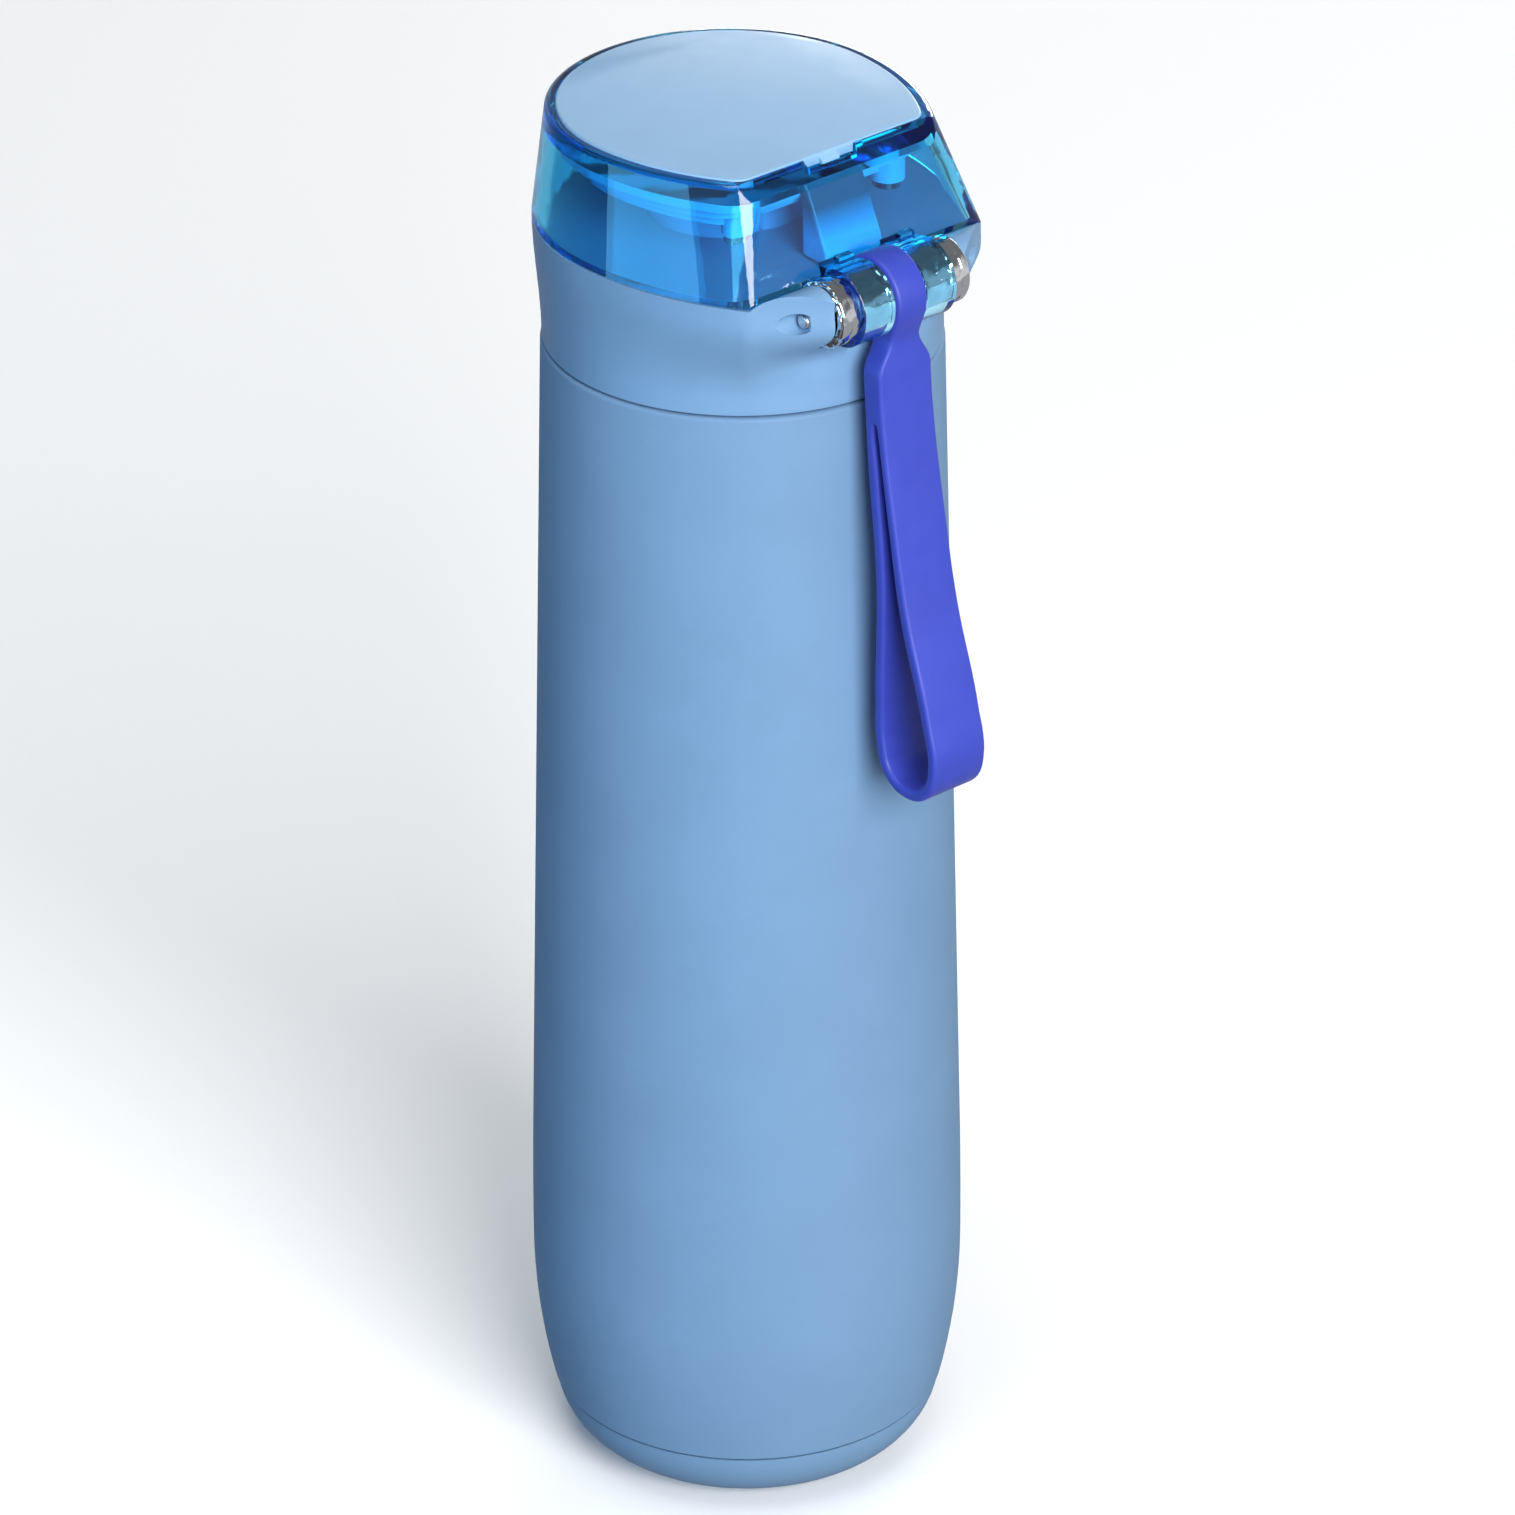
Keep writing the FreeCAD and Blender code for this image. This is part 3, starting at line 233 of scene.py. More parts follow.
def new_finish(name, colour, roughness, **even):
    """A Principled finish whose even values stand on the shader's own sockets."""
    material = bpy.data.materials.new(f"{name}_finish")
    material.use_nodes = True
    shader = material.node_tree.nodes["Principled BSDF"]
    shader.inputs["Base Color"].default_value = (*colour, 1.0)
    shader.inputs["Roughness"].default_value = roughness
    for key, value in even.items():
        shader.inputs[key.replace("_", " ")].default_value = value
    return material


def parts_of(material):
    """The node tree and shader of a finish."""
    tree = material.node_tree
    return tree, tree.nodes["Principled BSDF"]


def noise(tree, width, detail=2.0, stretch=(1.0, 1.0, 1.0)):
    """Noise whose waves are about this wide in metres, on the object's own place."""
    place = tree.nodes.new("ShaderNodeTexCoord")
    turn = tree.nodes.new("ShaderNodeMapping")
    turn.inputs["Scale"].default_value = stretch
    spots = add(tree, "ShaderNodeTexNoise", Scale=1.0 / width, Detail=detail, Roughness=0.55)
    tree.links.new(place.outputs["Object"], turn.inputs["Vector"])
    tree.links.new(turn.outputs["Vector"], spots.inputs["Vector"])
    return spots.outputs["Fac"]


def spread(tree, source, low, high, start=0.3, end=0.7):
    """Maps a pattern onto a range of numbers."""
    span = add(tree, "ShaderNodeMapRange", From_Min=start, From_Max=end, To_Min=low, To_Max=high)
    tree.links.new(source, span.inputs["Value"])
    return span.outputs["Result"]


def along_axis(tree, axis, start, end):
    """Rises from 0 to 1 between two places along one of the object's axes."""
    place = tree.nodes.new("ShaderNodeTexCoord")
    parts = tree.nodes.new("ShaderNodeSeparateXYZ")
    tree.links.new(place.outputs["Object"], parts.inputs["Vector"])
    return spread(tree, parts.outputs[axis], 0.0, 1.0, start, end)


def mottle(material, source, dark, light, start=0.35, end=0.65):
    """Lets the colour drift between two tones along a pattern."""
    tree, shader = parts_of(material)
    ramp = tree.nodes.new("ShaderNodeValToRGB")
    ramp.color_ramp.elements[0].position = start
    ramp.color_ramp.elements[0].color = (*dark, 1.0)
    ramp.color_ramp.elements[1].position = end
    ramp.color_ramp.elements[1].color = (*light, 1.0)
    tree.links.new(source, ramp.inputs["Fac"])
    tree.links.new(ramp.outputs["Color"], shader.inputs["Base Color"])


def blend_colours(material, source, first, last):
    """Lets the colour pass evenly from one tone to another along a pattern."""
    mottle(material, source, first, last, 0.0, 1.0)


def vary_roughness(material, source, low, high):
    """Lets the roughness drift over the surface."""
    tree, shader = parts_of(material)
    tree.links.new(spread(tree, source, low, high), shader.inputs["Roughness"])


def raise_grain(material, source, depth, strength=1.0):
    """Adds a relief of this depth in metres over any relief already there."""
    tree, shader = parts_of(material)
    bump = add(tree, "ShaderNodeBump", Strength=strength, Distance=depth)
    tree.links.new(source, bump.inputs["Height"])
    under = shader.inputs["Normal"]
    if under.is_linked:
        tree.links.new(under.links[0].from_socket, bump.inputs["Normal"])
    tree.links.new(bump.outputs["Normal"], under)


def tones(colour, amount):
    """A slightly darker and a slightly lighter tone of a colour."""
    return [c * (1 - amount) for c in colour], [min(1.0, c * (1 + amount)) for c in colour]


def powder_coat_finish(colours, grain):
    """Fine matte powder coat: soft peel, fine grain, a faint drift of colour."""
    coat = new_finish("powder_coat", colours.coat, 0.52, Specular_IOR_Level=0.16)
    coat_tree = coat.node_tree
    mottle(coat, noise(coat_tree, 18 * MM, 4.0), *tones(colours.coat, 0.025))
    vary_roughness(coat, noise(coat_tree, 6 * MM, 3.0), 0.48, 0.58)
    raise_grain(coat, noise(coat_tree, grain.coat_peel, 1.0), 0.03 * MM)
    raise_grain(coat, noise(coat_tree, grain.coat_grain, 2.0), 0.012 * MM)
    return coat


def moulded_finish(name, colour, roughness, grain, depth=0.008 * MM):
    """Satin moulded plastic with a spark-eroded grain."""
    plastic = new_finish(name, colour, roughness)
    tree = plastic.node_tree
    mottle(plastic, noise(tree, 12 * MM, 3.0), *tones(colour, 0.02))
    vary_roughness(plastic, noise(tree, 4 * MM, 3.0), roughness - 0.04, roughness + 0.05)
    raise_grain(plastic, noise(tree, grain.spark_grain, 2.0), depth)
    return plastic


def clear_finish(colours):
    """Clear tinted copolyester: polished, paler in the thin knuckles, with slight flow waves."""
    clear = new_finish("clear_blue", colours.clear, 0.015, Transmission_Weight=1.0, IOR=1.54)
    tree = clear.node_tree
    raise_grain(clear, noise(tree, 7 * MM, 1.0), 0.04 * MM, 0.35)
    vary_roughness(clear, noise(tree, 3 * MM, 4.0), 0.0, 0.05)
    knuckles = along_axis(tree, "Y", KNUCKLES_START, KNUCKLES_FULL)
    blend_colours(clear, knuckles, colours.clear, colours.thin)
    tint = add(tree, "ShaderNodeVolumeAbsorption", Density=DEPTH_DENSITY)
    tint.inputs["Color"].default_value = DEPTH_TINT
    tree.links.new(tint.outputs["Volume"], tree.nodes["Material Output"].inputs["Volume"])
    return clear


def metal_finish(name, colour, roughness, stretch=(1.0, 1.0, 1.0), width=0.4 * MM):
    """Metal with fine drawing lines along one direction."""
    metal = new_finish(name, colour, roughness, Metallic=1.0)
    tree = metal.node_tree
    lines = noise(tree, width, 3.0, stretch)
    mottle(metal, noise(tree, 4 * MM, 3.0), *tones(colour, 0.05))
    vary_roughness(metal, lines, max(0.02, roughness - 0.05), roughness + 0.06)
    raise_grain(metal, lines, 0.004 * MM)
    return metal


def silicone_finish(name, colour, roughness, **even):
    """Matte silicone: a faint bloom of dust-like grain; soft light under the skin comes only with the even
    values given.
    """
    rubber = new_finish(name, colour, roughness, **even)
    tree = rubber.node_tree
    mottle(rubber, noise(tree, 9 * MM, 4.0), *tones(colour, 0.035))
    vary_roughness(rubber, noise(tree, 2.5 * MM, 3.0), roughness - 0.05, roughness + 0.07)
    raise_grain(rubber, noise(tree, 0.6 * MM, 3.0), 0.012 * MM)
    return rubber


def frosted_finish(colours):
    """Frosted soft plastic, darkened upwards with painted shade by height above the foot."""
    block = silicone_finish("frosted_blue", colours.frosted, 0.38,
                            Subsurface_Weight=0.4, Subsurface_Scale=3 * MM)
    # painted shade: the block's colour is darkened to 0.22 of itself towards its top, from 235 mm to 240
    # mm above the foot
    painted_shade = along_axis(block.node_tree, "Z", BLOCK_SHADE_START, BLOCK_SHADE_FULL)
    shaded_tone = [c * 0.22 for c in colours.frosted]
    blend_colours(block, painted_shade, colours.frosted, shaded_tone)
    return block


def chrome_finish():
    """Polished plating with the slight waves of a drawn tube."""
    chrome = metal_finish("chrome", PLATING_COLOUR, 0.08, (0.06, 1.0, 1.0), 1.2 * MM)
    raise_grain(chrome, noise(chrome.node_tree, 2.7 * MM, 1.0), 0.9 * MM, 0.85)
    return chrome


def all_finishes(colours, grain):
    """Every finish of the bottle, by its material slot."""
    return {
        "powder_coat": powder_coat_finish(colours, grain),
        "bare_steel": metal_finish("bare_steel", STEEL_COLOUR, 0.26, (1.0, 1.0, 14.0)),
        "seal_bead": metal_finish("seal_bead", BEAD_COLOUR, 0.45),
        "collar_plastic": moulded_finish("collar_plastic", colours.moulding, 0.40, grain),
        "sleeve_plastic": moulded_finish("sleeve_plastic", SLEEVE_COLOUR, 0.38, grain),
        "seal_silicone": silicone_finish("seal_silicone", SEAL_COLOUR, 0.5,
                                         Subsurface_Weight=0.3, Subsurface_Scale=2 * MM),
        "spout_plastic": moulded_finish("spout_plastic", SPOUT_COLOUR, 0.22, grain, POLISHED),
        "chrome": chrome_finish(),
        "spring_steel": metal_finish("spring_steel", SPRING_COLOUR, 0.22),
        "clear_blue": clear_finish(colours),
        "disc_plastic": moulded_finish("disc_plastic", colours.disc, 0.36, grain),
        "carrier_plastic": moulded_finish("carrier_plastic", colours.inner, 0.20, grain, POLISHED),
        "frosted_blue": frosted_finish(colours),
        "strap_silicone": silicone_finish("strap_silicone", colours.strap, 0.46,
                                          Sheen_Weight=0.04, Sheen_Roughness=0.4),
    }


# ---------------------------------------------------------------- shaping

def select_only(piece):
    """Leaves only this object selected and active."""
    bpy.ops.object.select_all(action="DESELECT")
    piece.select_set(True)
    bpy.context.view_layer.objects.active = piece


def flat_curve(name, half_width, edge_round, outlines, steps=16):
    """A flat filled curve in the bottle's upright middle plane, given a width along X.

    Each outline is a closed list of (y, z) in metres. A point may also bring the places of its two
    handles, before and after it."""
    curve = bpy.data.curves.new(name, "CURVE")
    curve.dimensions = "2D"
    curve.fill_mode = "BOTH"
    curve.resolution_u = steps
    curve.extrude = half_width - edge_round
    curve.bevel_depth = edge_round
    curve.bevel_resolution = 3
    curve.offset = -edge_round
    for outline in outlines:
        spline = curve.splines.new("BEZIER")
        spline.use_cyclic_u = True
        spline.bezier_points.add(len(outline) - 1)
        for knot, (y, z, *handles) in zip(spline.bezier_points, outline):
            knot.co = (y, z, 0.0)
            if handles:
                knot.handle_left_type = knot.handle_right_type = "FREE"
                knot.handle_left = (*handles[0], 0.0)
                knot.handle_right = (*handles[1], 0.0)
            else:
                knot.handle_left_type = knot.handle_right_type = "AUTO"
    piece = bpy.data.objects.new(name, curve)
    bpy.context.scene.collection.objects.link(piece)
    upright = Matrix(((0.0, 0.0, 1.0), (1.0, 0.0, 0.0), (0.0, 1.0, 0.0))).to_4x4()
    piece.matrix_world = upright
    select_only(piece)
    bpy.ops.object.convert(target="MESH")
    bpy.ops.object.transform_apply(location=True, rotation=True, scale=True)
    return piece


def smooth_step(value, start, end):
    """Eases from 0 at start to 1 at end."""
    share = min(1.0, max(0.0, (value - start) / (end - start)))
    return share * share * (3.0 - 2.0 * share)


def hinge_place():
    """Where the hinge's axis crosses the middle plane, as (y, z)."""
    low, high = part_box("hinge_sleeve")
    middle = (low + high) / 2
    return middle.y, middle.z


def finish_piece(piece, body, slot, *nodes, smooth=35):
    """Shades a new piece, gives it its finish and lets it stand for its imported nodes."""
    select_only(piece)
    bpy.ops.object.mode_set(mode="EDIT")
    bpy.ops.mesh.select_all(action="SELECT")
    bpy.ops.mesh.remove_doubles(threshold=0.01 * MM)
    bpy.ops.mesh.normals_make_consistent(inside=False)
    bpy.ops.object.mode_set(mode="OBJECT")
    bpy.ops.object.shade_smooth_by_angle(angle=math.radians(smooth))
    piece.data.materials.clear()
    piece.data.materials.append(bpy.data.materials[f"{slot}_finish"])
    if nodes:
        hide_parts(*nodes)
    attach(piece, body)


def node_copy(node, name):
    """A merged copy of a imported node's mesh, with its flat faces made whole."""
    piece = bpy.data.objects.new(name, NODES[node].data.copy())
    bpy.context.scene.collection.objects.link(piece)
    select_only(piece)
    bpy.ops.mesh.customdata_custom_splitnormals_clear()
    bpy.ops.object.mode_set(mode="EDIT")
    bpy.ops.mesh.select_all(action="SELECT")
    bpy.ops.mesh.remove_doubles(threshold=0.004 * MM)
    bpy.ops.mesh.dissolve_limited(angle_limit=math.radians(0.3))
    bpy.ops.object.mode_set(mode="OBJECT")
    return piece


def round_edges(piece, width, steps=3, angle=35):
    """Rounds a piece's sharp edges and applies the rounding."""
    select_only(piece)
    rounding = piece.modifiers.new("rounding", "BEVEL")
    rounding.width = width
    rounding.segments = steps
    rounding.limit_method = "ANGLE"
    rounding.angle_limit = math.radians(angle)
    rounding.use_clamp_overlap = True
    bpy.ops.object.modifier_apply(modifier=rounding.name)


def turned(name, centre, axis, outline, steps=96):
    """A piece spun about an axis from a closed outline on one side of it, in metres."""
    curve = bpy.data.curves.new(name, "CURVE")
    curve.dimensions = "3D"
    spline = curve.splines.new("POLY")
    spline.use_cyclic_u = True
    spline.points.add(len(outline) - 1)
    for knot, place in zip(spline.points, outline):
        knot.co = (*place, 1.0)
    piece = bpy.data.objects.new(name, curve)
    bpy.context.scene.collection.objects.link(piece)
    select_only(piece)
    bpy.ops.object.convert(target="MESH")
    bpy.ops.object.mode_set(mode="EDIT")
    bpy.ops.mesh.select_all(action="SELECT")
    bpy.ops.mesh.spin(steps=steps, angle=math.tau, center=centre, axis=axis)
    bpy.ops.object.mode_set(mode="OBJECT")
    return piece


def quarter_round(start, reach, rise):
    """Points of a quarter circle that leaves start along its second axis and ends along its first."""
    first, second = start
    return [(first + reach * (1 - math.cos(turn)), second + rise * math.sin(turn))
            for turn in QUARTER_TURNS]


def bowed(start, end, steps):
    """Radii and heights along an arc that stands upright at its wide end."""
    (narrow, low), (wide, high) = start, end
    span, drop = high - low, wide - narrow
    bend = (span * span + drop * drop) / (2 * drop)
    points = []
    for step in range(steps + 1):
        below = span * (1 - step / steps)
        points.append((wide - bend + math.sqrt(bend * bend - below * below), high - below))
    return points


def flask_side(inset):
    """The flask's side from its lower edge to its shoulder, moved in by inset, in millimetres."""
    belly_radius, belly_height = FLASK_BELLY
    taper_radius, taper_height = FLASK_TAPER
    widest = (belly_radius - inset, belly_height)
    low = bowed((FLASK_EDGE[0] - inset, FLASK_EDGE[1] + inset), widest, steps=14)
    high = bowed((taper_radius - inset, 2 * belly_height - taper_height), widest, steps=6)
    high = [(radius, 2 * belly_height - height) for radius, height in reversed(high)]
    return low + high[1:] + [(FLASK_SHOULDER[0] - inset, FLASK_SHOULDER[1])]


def flask_outline():
    """The flask's wall, up its outside to the neck and down its inside, in millimetres."""
    root_radius, root_height = NECK_ROOT
    painted_shade = quarter_round((root_height, root_radius), NECK_ROOT_ROUND, -NECK_ROOT_ROUND)
    outside = flask_side(0.0) + quarter_round(FLASK_SHOULDER, -SHOULDER_ROUND, SHOULDER_ROUND)
    outside += [NECK_ROOT] + [(radius, height) for height, radius in painted_shade]
    neck_outside = root_radius - NECK_ROOT_ROUND
    neck_inside = neck_outside - FLASK_WALL
    rim = [(neck_outside, NECK_TOP - 1.5 * NECK_EDGE), (neck_outside - NECK_EDGE, NECK_TOP),
           (neck_inside + NECK_EDGE, NECK_TOP), (neck_inside, NECK_TOP - NECK_EDGE)]
    shoulder_top = FLASK_SHOULDER[1] + SHOULDER_ROUND
    inside = [(neck_inside, NECK_FOOT_INSIDE), UNDER_SHOULDER,
              (FLASK_SHOULDER[0] - SHOULDER_ROUND, shoulder_top - FLASK_WALL)]
    inside += reversed(flask_side(FLASK_WALL))
    return outside + rim + inside + FLASK_SKIRT


def bush_outline(start, end, centre, outside):
    """A bush's wall from end to end: rolled lips and a shallow groove, as (x, z) in metres."""
    inside = outside - BUSH_WALL
    lip = outside - BUSH_LIP
    groove = (start + end) / 2
    outline = [(start, inside), (start, lip)] + quarter_round((start, lip), BUSH_LIP, BUSH_LIP)
    outline += [(groove - GROOVE_HALF, outside), (groove - GROOVE_FLOOR_HALF, outside - GROOVE_DEPTH),
                (groove + GROOVE_FLOOR_HALF, outside - GROOVE_DEPTH), (groove + GROOVE_HALF, outside)]
    outline += reversed(quarter_round((end, lip), -BUSH_LIP, BUSH_LIP))
    outline += [(end, lip), (end, inside)]
    return [(x, centre + radius) for x, radius in outline]


# ---------------------------------------------------------------- pieces

class BOTTLE_OT_finishes(Operator):
    """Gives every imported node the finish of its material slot"""
    bl_idname = "bottle.finishes"
    bl_label = "Finishes"

    def execute(self, context):
        finishes = all_finishes(context.scene.bottle_colours, context.scene.bottle_grain)
        for part in frame["record"]["subparts"]:
            NODES[part["node"]].material_slots[0].material = finishes[part["material_slot"]]
        return {"FINISHED"}


class BOTTLE_OT_strap(Operator):
    """Moulds the silicone strap: a loop on the barrel, two bands and a long eye"""
    bl_idname = "bottle.strap"
    bl_label = "Strap"

    def execute(self, context):
        hinge_y, hinge_z = hinge_place()

        def at(back, down):
            """A place this far behind and below the hinge's axis."""
            return (hinge_y + back * MM, hinge_z - down * MM)

        def knot(back, down, before, after):
            """A place with its two handles."""
            return (*at(back, down), at(*before), at(*after))

        loop, pull = LOOP_RADIUS, LOOP_PULL
        outside = [
            knot(-loop, 0.0, (-loop, pull), (-loop, -pull)),
            knot(0.0, -loop, (-pull, -loop), (pull, -loop)),
            knot(loop, 0.0, (loop, -pull), (loop, 2.6)),
            knot(5.2, 6.2, (5.5, 4.6), (5.0, 7.4)),
            at(5.3, 13.0), at(6.2, 22.0), at(9.0, 38.0), at(12.0, 52.3),
            at(17.2, 69.0), at(18.8, 78.0), at(16.8, 83.1), at(11.7, 85.2),
            at(6.6, 83.1), at(4.5, 78.0), at(4.1, 70.0), at(4.2, 48.1), at(2.2, 28.0),
            at(1.1, 13.2),
            knot(0.8, 7.6, (0.9, 9.5), (0.6, 7.1)),
            knot(-1.6, 6.8, (-0.6, 7.0), (-4.6, 6.1)),
        ]
        eye = [
            at(3.55, 21.4), at(3.85, 20.6), at(4.2, 21.2), at(7.0, 37.0), at(10.05, 52.8),
            at(15.25, 69.5), at(16.9, 78.0), at(15.4, 81.7), at(11.7, 83.2),
            at(8.0, 81.7), at(6.5, 78.0), at(6.1, 70.0), at(6.2, 48.1), at(4.6, 31.0),
        ]
        bore, pull = BORE_RADIUS, BORE_PULL
        hole = [
            knot(bore, 0.0, (bore, pull), (bore, -pull)),
            knot(0.0, -bore, (pull, -bore), (-pull, -bore)),
            knot(-bore, 0.0, (-bore, -pull), (-bore, pull)),
            knot(0.0, bore, (-pull, bore), (pull, bore)),
        ]
        low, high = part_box("carry_strap")
        half = (high.x - low.x) / 2
        narrow = half - LOOP_HALF_WIDTH * MM
        strap = flat_curve("strap", half, STRAP_EDGE * MM, (outside, eye, hole), steps=14)
        for corner in strap.data.vertices:
            down = (hinge_z - corner.co.z) / MM
            inward = narrow * (1.0 - smooth_step(down, NARROW_UNTIL, WIDE_FROM))
            corner.co.x -= math.copysign(inward, corner.co.x)
        finish_piece(strap, "strap", "strap_silicone", "carry_strap", smooth=50)
        return {"FINISHED"}


class BOTTLE_OT_lid_disc(Operator):
    """Moulds the lid's disc with a soft edge, seated just clear of the roof"""
    bl_idname = "bottle.lid_disc"
    bl_label = "Lid disc"

    def execute(self, context):
        disc = node_copy("lid_disc", "lid_top")
        low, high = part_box("lid_disc")
        for corner in disc.data.vertices:
            if corner.co.z < low.z + SEAT_GAP:
                corner.co.z += SEAT_GAP
            elif corner.co.y > high.y - TAB_REACH and corner.co.z < high.z - TAB_STEP:
                corner.co.z -= TAB_DROP
        round_edges(disc, DISC_EDGE)
        finish_piece(disc, "lid", "disc_plastic", "lid_disc")
        return {"FINISHED"}


class BOTTLE_OT_seal_carrier(Operator):
    """Moulds the stepped seal carrier, seated just clear of the roof"""
    bl_idname = "bottle.seal_carrier"
    bl_label = "Seal carrier"

    def execute(self, context):
        carrier = node_copy("seal_carrier", "stepped_carrier")
        low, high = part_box("seal_carrier")
        for corner in carrier.data.vertices:
            if corner.co.z > high.z - SEAT_GAP:
                corner.co.z -= SEAT_GAP
        round_edges(carrier, CARRIER_EDGE)
        finish_piece(carrier, "lid", "carrier_plastic", "seal_carrier")
        return {"FINISHED"}


class BOTTLE_OT_vent_block(Operator):
    """Moulds the frosted vent block with its soft corners"""
    bl_idname = "bottle.vent_block"
    bl_label = "Vent block"

    def execute(self, context):
        block = node_copy("vent_plug", "vent_block")
        round_edges(block, BLOCK_EDGE, steps=4, angle=24)
        finish_piece(block, "lid", "frosted_blue", "vent_plug")
        return {"FINISHED"}


class BOTTLE_OT_button(Operator):
    """Moulds the release button with soft edges, and gives its spring its own mesh"""
    bl_idname = "bottle.button"
    bl_label = "Release button"

    def execute(self, context):
        button = node_copy("release_button", "button_cap")
        round_edges(button, BUTTON_EDGE, angle=40)
        finish_piece(button, "button", "collar_plastic", "release_button")

        spring = node_copy("button_spring", "button_coil")
        finish_piece(spring, "collar", "spring_steel", "button_spring", smooth=60)
        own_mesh(spring)
        return {"FINISHED"}


class BOTTLE_OT_collar(Operator):
    """Moulds the collar with its flanks blended into each other"""
    bl_idname = "bottle.collar"
    bl_label = "Collar"

    def execute(self, context):
        collar = node_copy("collar", "collar_shell")
        finish_piece(collar, "collar", "collar_plastic", "collar", smooth=42)
        return {"FINISHED"}


class BOTTLE_OT_flask(Operator):
    """Spins the coated outer flask in one skin, from its skirt to its neck"""
    bl_idname = "bottle.flask"
    bl_label = "Flask"

    def execute(self, context):
        outline = [(radius * MM, 0.0, height * MM) for radius, height in flask_outline()]
        flask = turned("flask_shell", Vector(), (0.0, 0.0, 1.0), outline, steps=240)
        finish_piece(flask, "flask", "powder_coat", "outer_shell", smooth=32)
        return {"FINISHED"}


class BOTTLE_OT_drink_spout(Operator):
    """Moulds the drinking spout with a rounded lip"""
    bl_idname = "bottle.drink_spout"
    bl_label = "Drinking spout"

    def execute(self, context):
        spout = node_copy("drink_spout", "spout")
        round_edges(spout, SPOUT_EDGE, steps=4, angle=40)
        finish_piece(spout, "collar", "spout_plastic", "drink_spout")
        return {"FINISHED"}


class BOTTLE_OT_bushes(Operator):
    """Turns the two plated bushes with rolled lips and a shallow groove"""
    bl_idname = "bottle.bushes"
    bl_label = "Hinge bushes"

    def execute(self, context):
        for side in ("left", "right"):
            low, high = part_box(f"hinge_bush_{side}")
            centre = (low + high) / 2
            wall = bush_outline(low.x, high.x, centre.z, high.z - centre.z)
            outline = [(x, centre.y, z) for x, z in wall]
            bush = turned(f"bush_{side}", centre, (1.0, 0.0, 0.0), outline)
            finish_piece(bush, "collar", "chrome", f"hinge_bush_{side}", smooth=28)
        return {"FINISHED"}


# ---------------------------------------------------------------- studio

def direction(turn, rise):
    """The way to something this far round the bottle and this high, in radians."""
    level = math.cos(rise)
    return Vector((math.sin(turn) * level, -math.cos(turn) * level, math.sin(rise)))


def softbox(name, power, turn, rise, distance, size, tint=(1.0, 1.0, 1.0), tilt=0.0):
    """A rectangular light that faces the bottle, its turn, rise and tilt in degrees."""
    lamp = bpy.data.lights.new(name, "AREA")
    lamp.shape = "RECTANGLE"
    lamp.size, lamp.size_y = size
    lamp.energy = power
    lamp.color = tint
    box = bpy.data.objects.new(name, lamp)
    way = direction(CAMERA_TURN + math.radians(turn), math.radians(rise))
    box.location = CAMERA_AIM + way * distance
    facing = way.to_track_quat("Z", "Y") @ Quaternion((0.0, 0.0, 1.0), math.radians(tilt))
    box.rotation_euler = facing.to_euler()
    box.visible_camera = False
    bpy.context.scene.collection.objects.link(box)
    return box


def shine_through(lamp, node):
    """Lets a light pass this clear piece without a shadow."""
    clear = bpy.data.collections.new(f"{lamp.name}_passes")
    clear.objects.link(node)
    clear.collection_objects[0].light_linking.link_state = "EXCLUDE"
    lamp.light_linking.blocker_collection = clear


def studio_world():
    """A pale horizon that dims upwards, as in a paper tent with a dark card on the left."""
    world = bpy.data.worlds.new("studio")
    world.use_nodes = True
    tree = world.node_tree
    sky = tree.nodes["Background"]
    place = tree.nodes.new("ShaderNodeTexCoord")
    parts = tree.nodes.new("ShaderNodeSeparateXYZ")
    height = add(tree, "ShaderNodeMapRange", From_Min=-1.0, From_Max=1.0)
    ramp = tree.nodes.new("ShaderNodeValToRGB")
    bands = ramp.color_ramp.elements
    bands[0].position, bands[0].color = 0.40, GROUND_TONE
    bands[1].position, bands[1].color = 0.75, CEILING_TONE
    for horizon in (0.49, 0.57):
        bands.new(horizon).color = HORIZON_TONE
    tree.links.new(place.outputs["Generated"], parts.inputs["Vector"])
    tree.links.new(parts.outputs["Z"], height.inputs["Value"])
    tree.links.new(height.outputs["Result"], ramp.inputs["Fac"])
    tree.links.new(ramp.outputs["Color"], sky.inputs["Color"])
    card = tree.nodes.new("ShaderNodeVectorMath")
    card.operation = "DOT_PRODUCT"
    card.inputs[1].default_value = direction(CAMERA_TURN + CARD_TURN, 0.0)
    tree.links.new(place.outputs["Generated"], card.inputs[0])
    dimmed = spread(tree, card.outputs["Value"], 1.0, CARD_SHADE, 0.50, 0.85)
    tree.links.new(dimmed, sky.inputs["Strength"])
    bpy.context.scene.world = world


def studio_camera(focal_length):
    """The camera, above and behind the bottle on its +X side."""
    lens = bpy.data.cameras.new("camera")
    lens.sensor_width = SENSOR_WIDTH
    lens.lens = focal_length
    lens.shift_x, lens.shift_y = LENS_SHIFT
    lens.clip_start, lens.clip_end = 0.05, 50.0
    camera = bpy.data.objects.new("camera", lens)
    back = direction(CAMERA_TURN, CAMERA_RISE)
    right = direction(CAMERA_TURN + math.pi / 2, 0.0)
    up = back.cross(right)
    side = right * math.cos(CAMERA_ROLL) - up * math.sin(CAMERA_ROLL)
    rise = right * math.sin(CAMERA_ROLL) + up * math.cos(CAMERA_ROLL)
    turn = Matrix((side, rise, back)).transposed().to_4x4()
    camera.matrix_world = Matrix.Translation(CAMERA_AIM + back * CAMERA_DISTANCE) @ turn
    bpy.context.scene.collection.objects.link(camera)
    bpy.context.scene.camera = camera


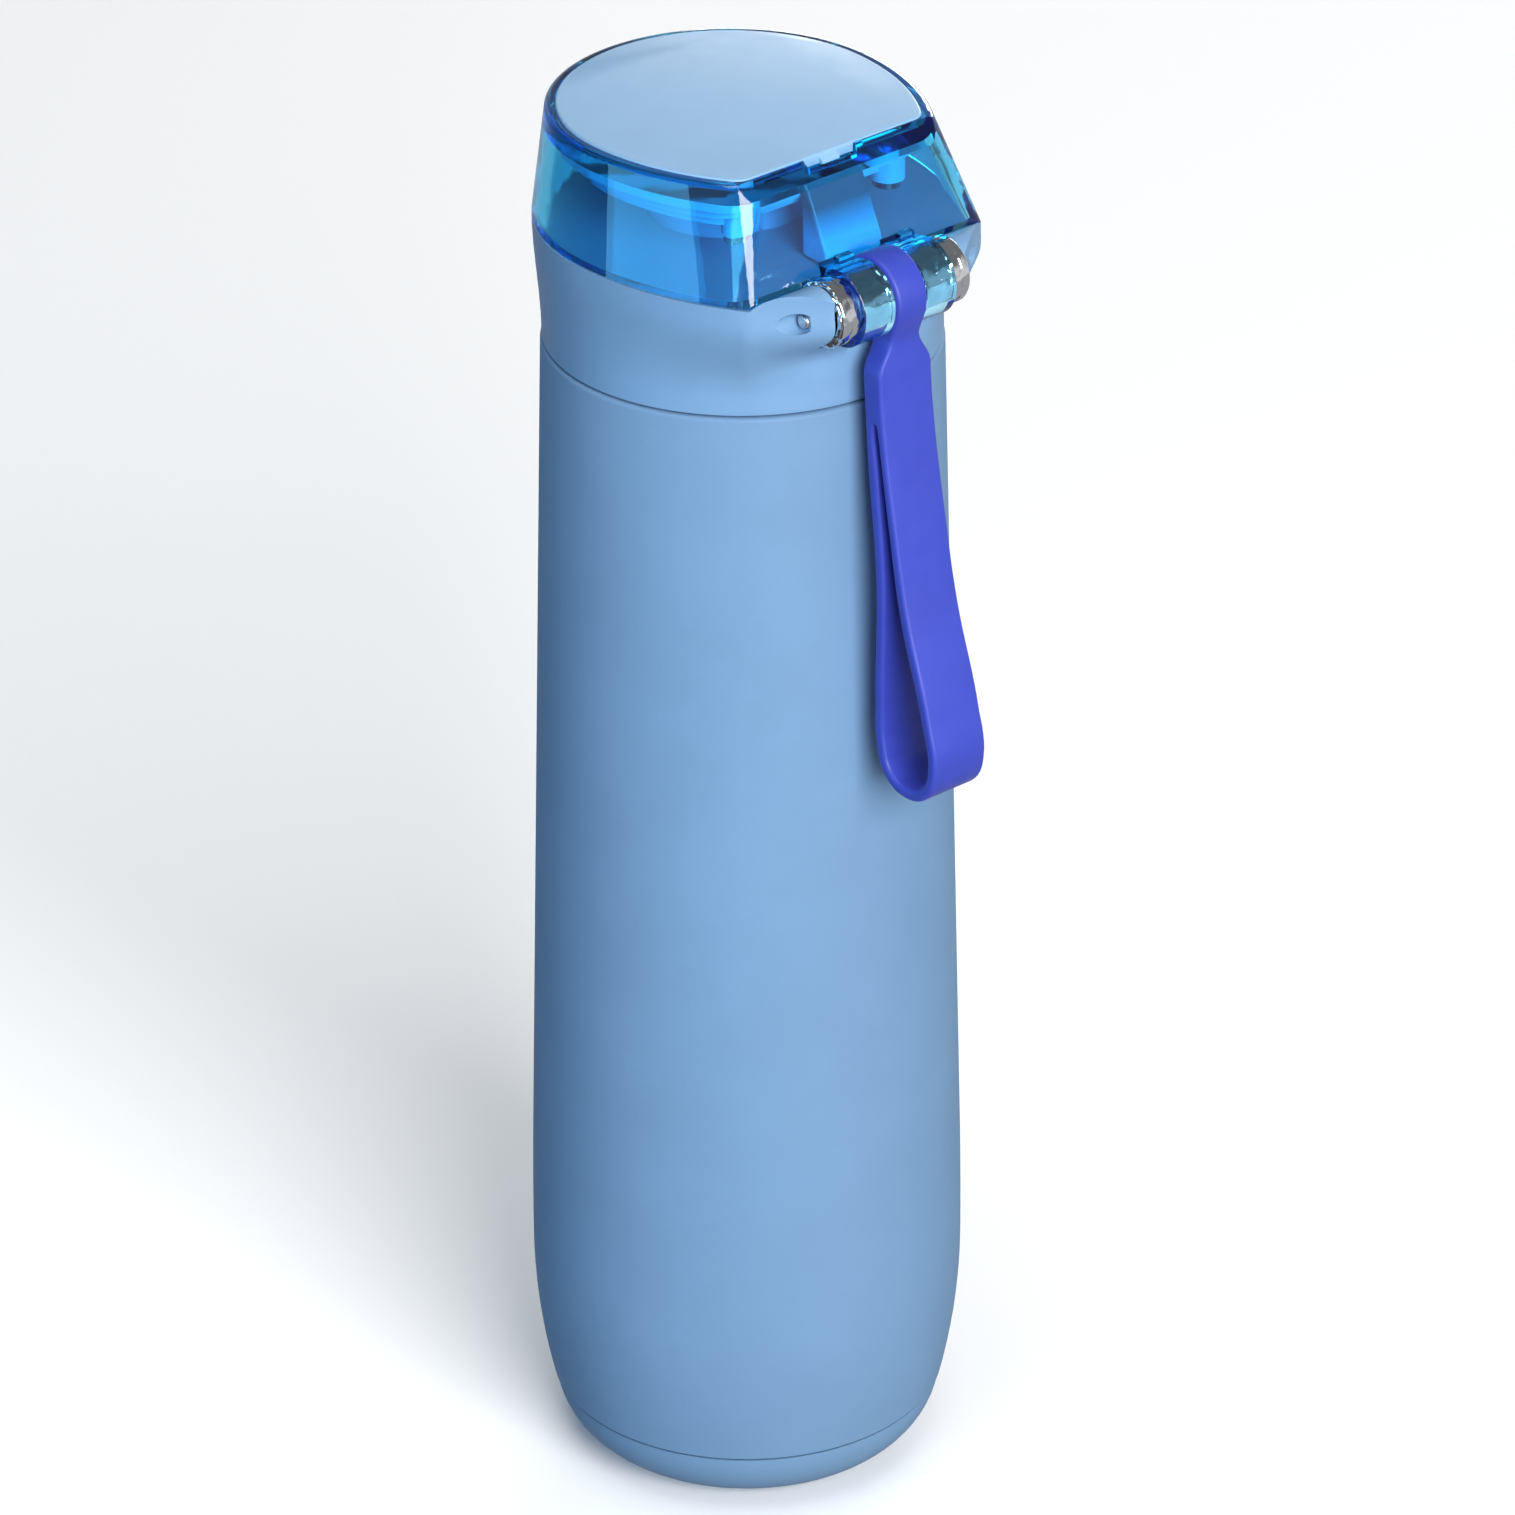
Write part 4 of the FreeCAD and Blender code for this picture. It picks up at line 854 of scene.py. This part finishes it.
class BOTTLE_OT_stage(Operator):
    """Makes the pale floor, the soft studio lights and the camera"""
    bl_idname = "bottle.stage"
    bl_label = "Studio"

    def execute(self, context):
        scene = context.scene
        studio = scene.bottle_studio
        scene.view_settings.view_transform = "Standard"
        scene.cycles.max_bounces = 64
        scene.cycles.glossy_bounces = 48
        scene.cycles.transmission_bounces = 48

        bpy.ops.object.select_all(action="DESELECT")
        bpy.ops.mesh.primitive_plane_add(size=FLOOR_SIZE, location=(0.0, 0.0, FLOOR_HEIGHT))
        floor = context.object
        floor.name = "floor"
        paper = new_finish("floor_paper", scene.bottle_colours.floor, 0.75)
        raise_grain(paper, noise(paper.node_tree, 4 * MM, 2.0), 0.02 * MM, 0.3)
        floor.data.materials.append(paper)
        floor.visible_diffuse = False
        floor.visible_glossy = False

        key = softbox("key_light", studio.key_power, turn=24.0, rise=24.0, distance=2.5, size=(1.5, 1.5))
        shine_through(key, NODES["lid_shell"])
        softbox("top_light", studio.top_power, turn=-10.0, rise=80.0, distance=2.2, size=(1.2, 1.2))
        softbox("side_light", studio.side_power, turn=-62.0, rise=6.0, distance=1.6, size=(1.1, 0.5),
                tint=SIDE_TINT, tilt=22.0)
        softbox("back_light", studio.back_power, turn=165.0, rise=10.0, distance=2.5, size=(1.5, 0.9))
        studio_world()
        studio_camera(studio.lens)
        return {"FINISHED"}


# ---------------------------------------------------------------- panel

class BOTTLE_PT_panel(Panel):
    """The bottle's settings and steps"""
    bl_label = "Insulated bottle"
    bl_idname = "BOTTLE_PT_panel"
    bl_space_type = "VIEW_3D"
    bl_region_type = "UI"
    bl_category = "Bottle"

    def draw(self, context):
        layout = self.layout
        for settings in ("bottle_colours", "bottle_grain", "bottle_studio"):
            group = getattr(context.scene, settings)
            box = layout.box()
            for name in group.__annotations__:
                box.prop(group, name)
        for step in STEPS:
            layout.operator(step.bl_idname)


STEPS = (BOTTLE_OT_stage, BOTTLE_OT_finishes, BOTTLE_OT_strap,
         BOTTLE_OT_lid_disc, BOTTLE_OT_seal_carrier, BOTTLE_OT_vent_block,
         BOTTLE_OT_button, BOTTLE_OT_collar, BOTTLE_OT_flask, BOTTLE_OT_drink_spout,
         BOTTLE_OT_bushes)
GROUPS = {
    "bottle_colours": BottleColours,
    "bottle_grain": BottleGrain,
    "bottle_studio": BottleStudio,
}


def register():
    """Adds the bottle's settings, steps and panel to Blender."""
    for group in GROUPS.values():
        bpy.utils.register_class(group)
    for name, group in GROUPS.items():
        setattr(bpy.types.Scene, name, PointerProperty(type=group))
    for kind in (*STEPS, BOTTLE_PT_panel):
        bpy.utils.register_class(kind)


def unregister():
    """Takes them out again."""
    for kind in (BOTTLE_PT_panel, *reversed(STEPS)):
        bpy.utils.unregister_class(kind)
    for name, group in GROUPS.items():
        delattr(bpy.types.Scene, name)
        bpy.utils.unregister_class(group)


def main():
    """Builds the bottle's looks step by step."""
    register()
    bpy.ops.bottle.stage()
    bpy.ops.bottle.finishes()
    bpy.ops.bottle.strap()
    bpy.ops.bottle.lid_disc()
    bpy.ops.bottle.seal_carrier()
    bpy.ops.bottle.vent_block()
    bpy.ops.bottle.button()
    bpy.ops.bottle.collar()
    bpy.ops.bottle.flask()
    bpy.ops.bottle.drink_spout()
    bpy.ops.bottle.bushes()


if __name__ == "__main__":
    main()
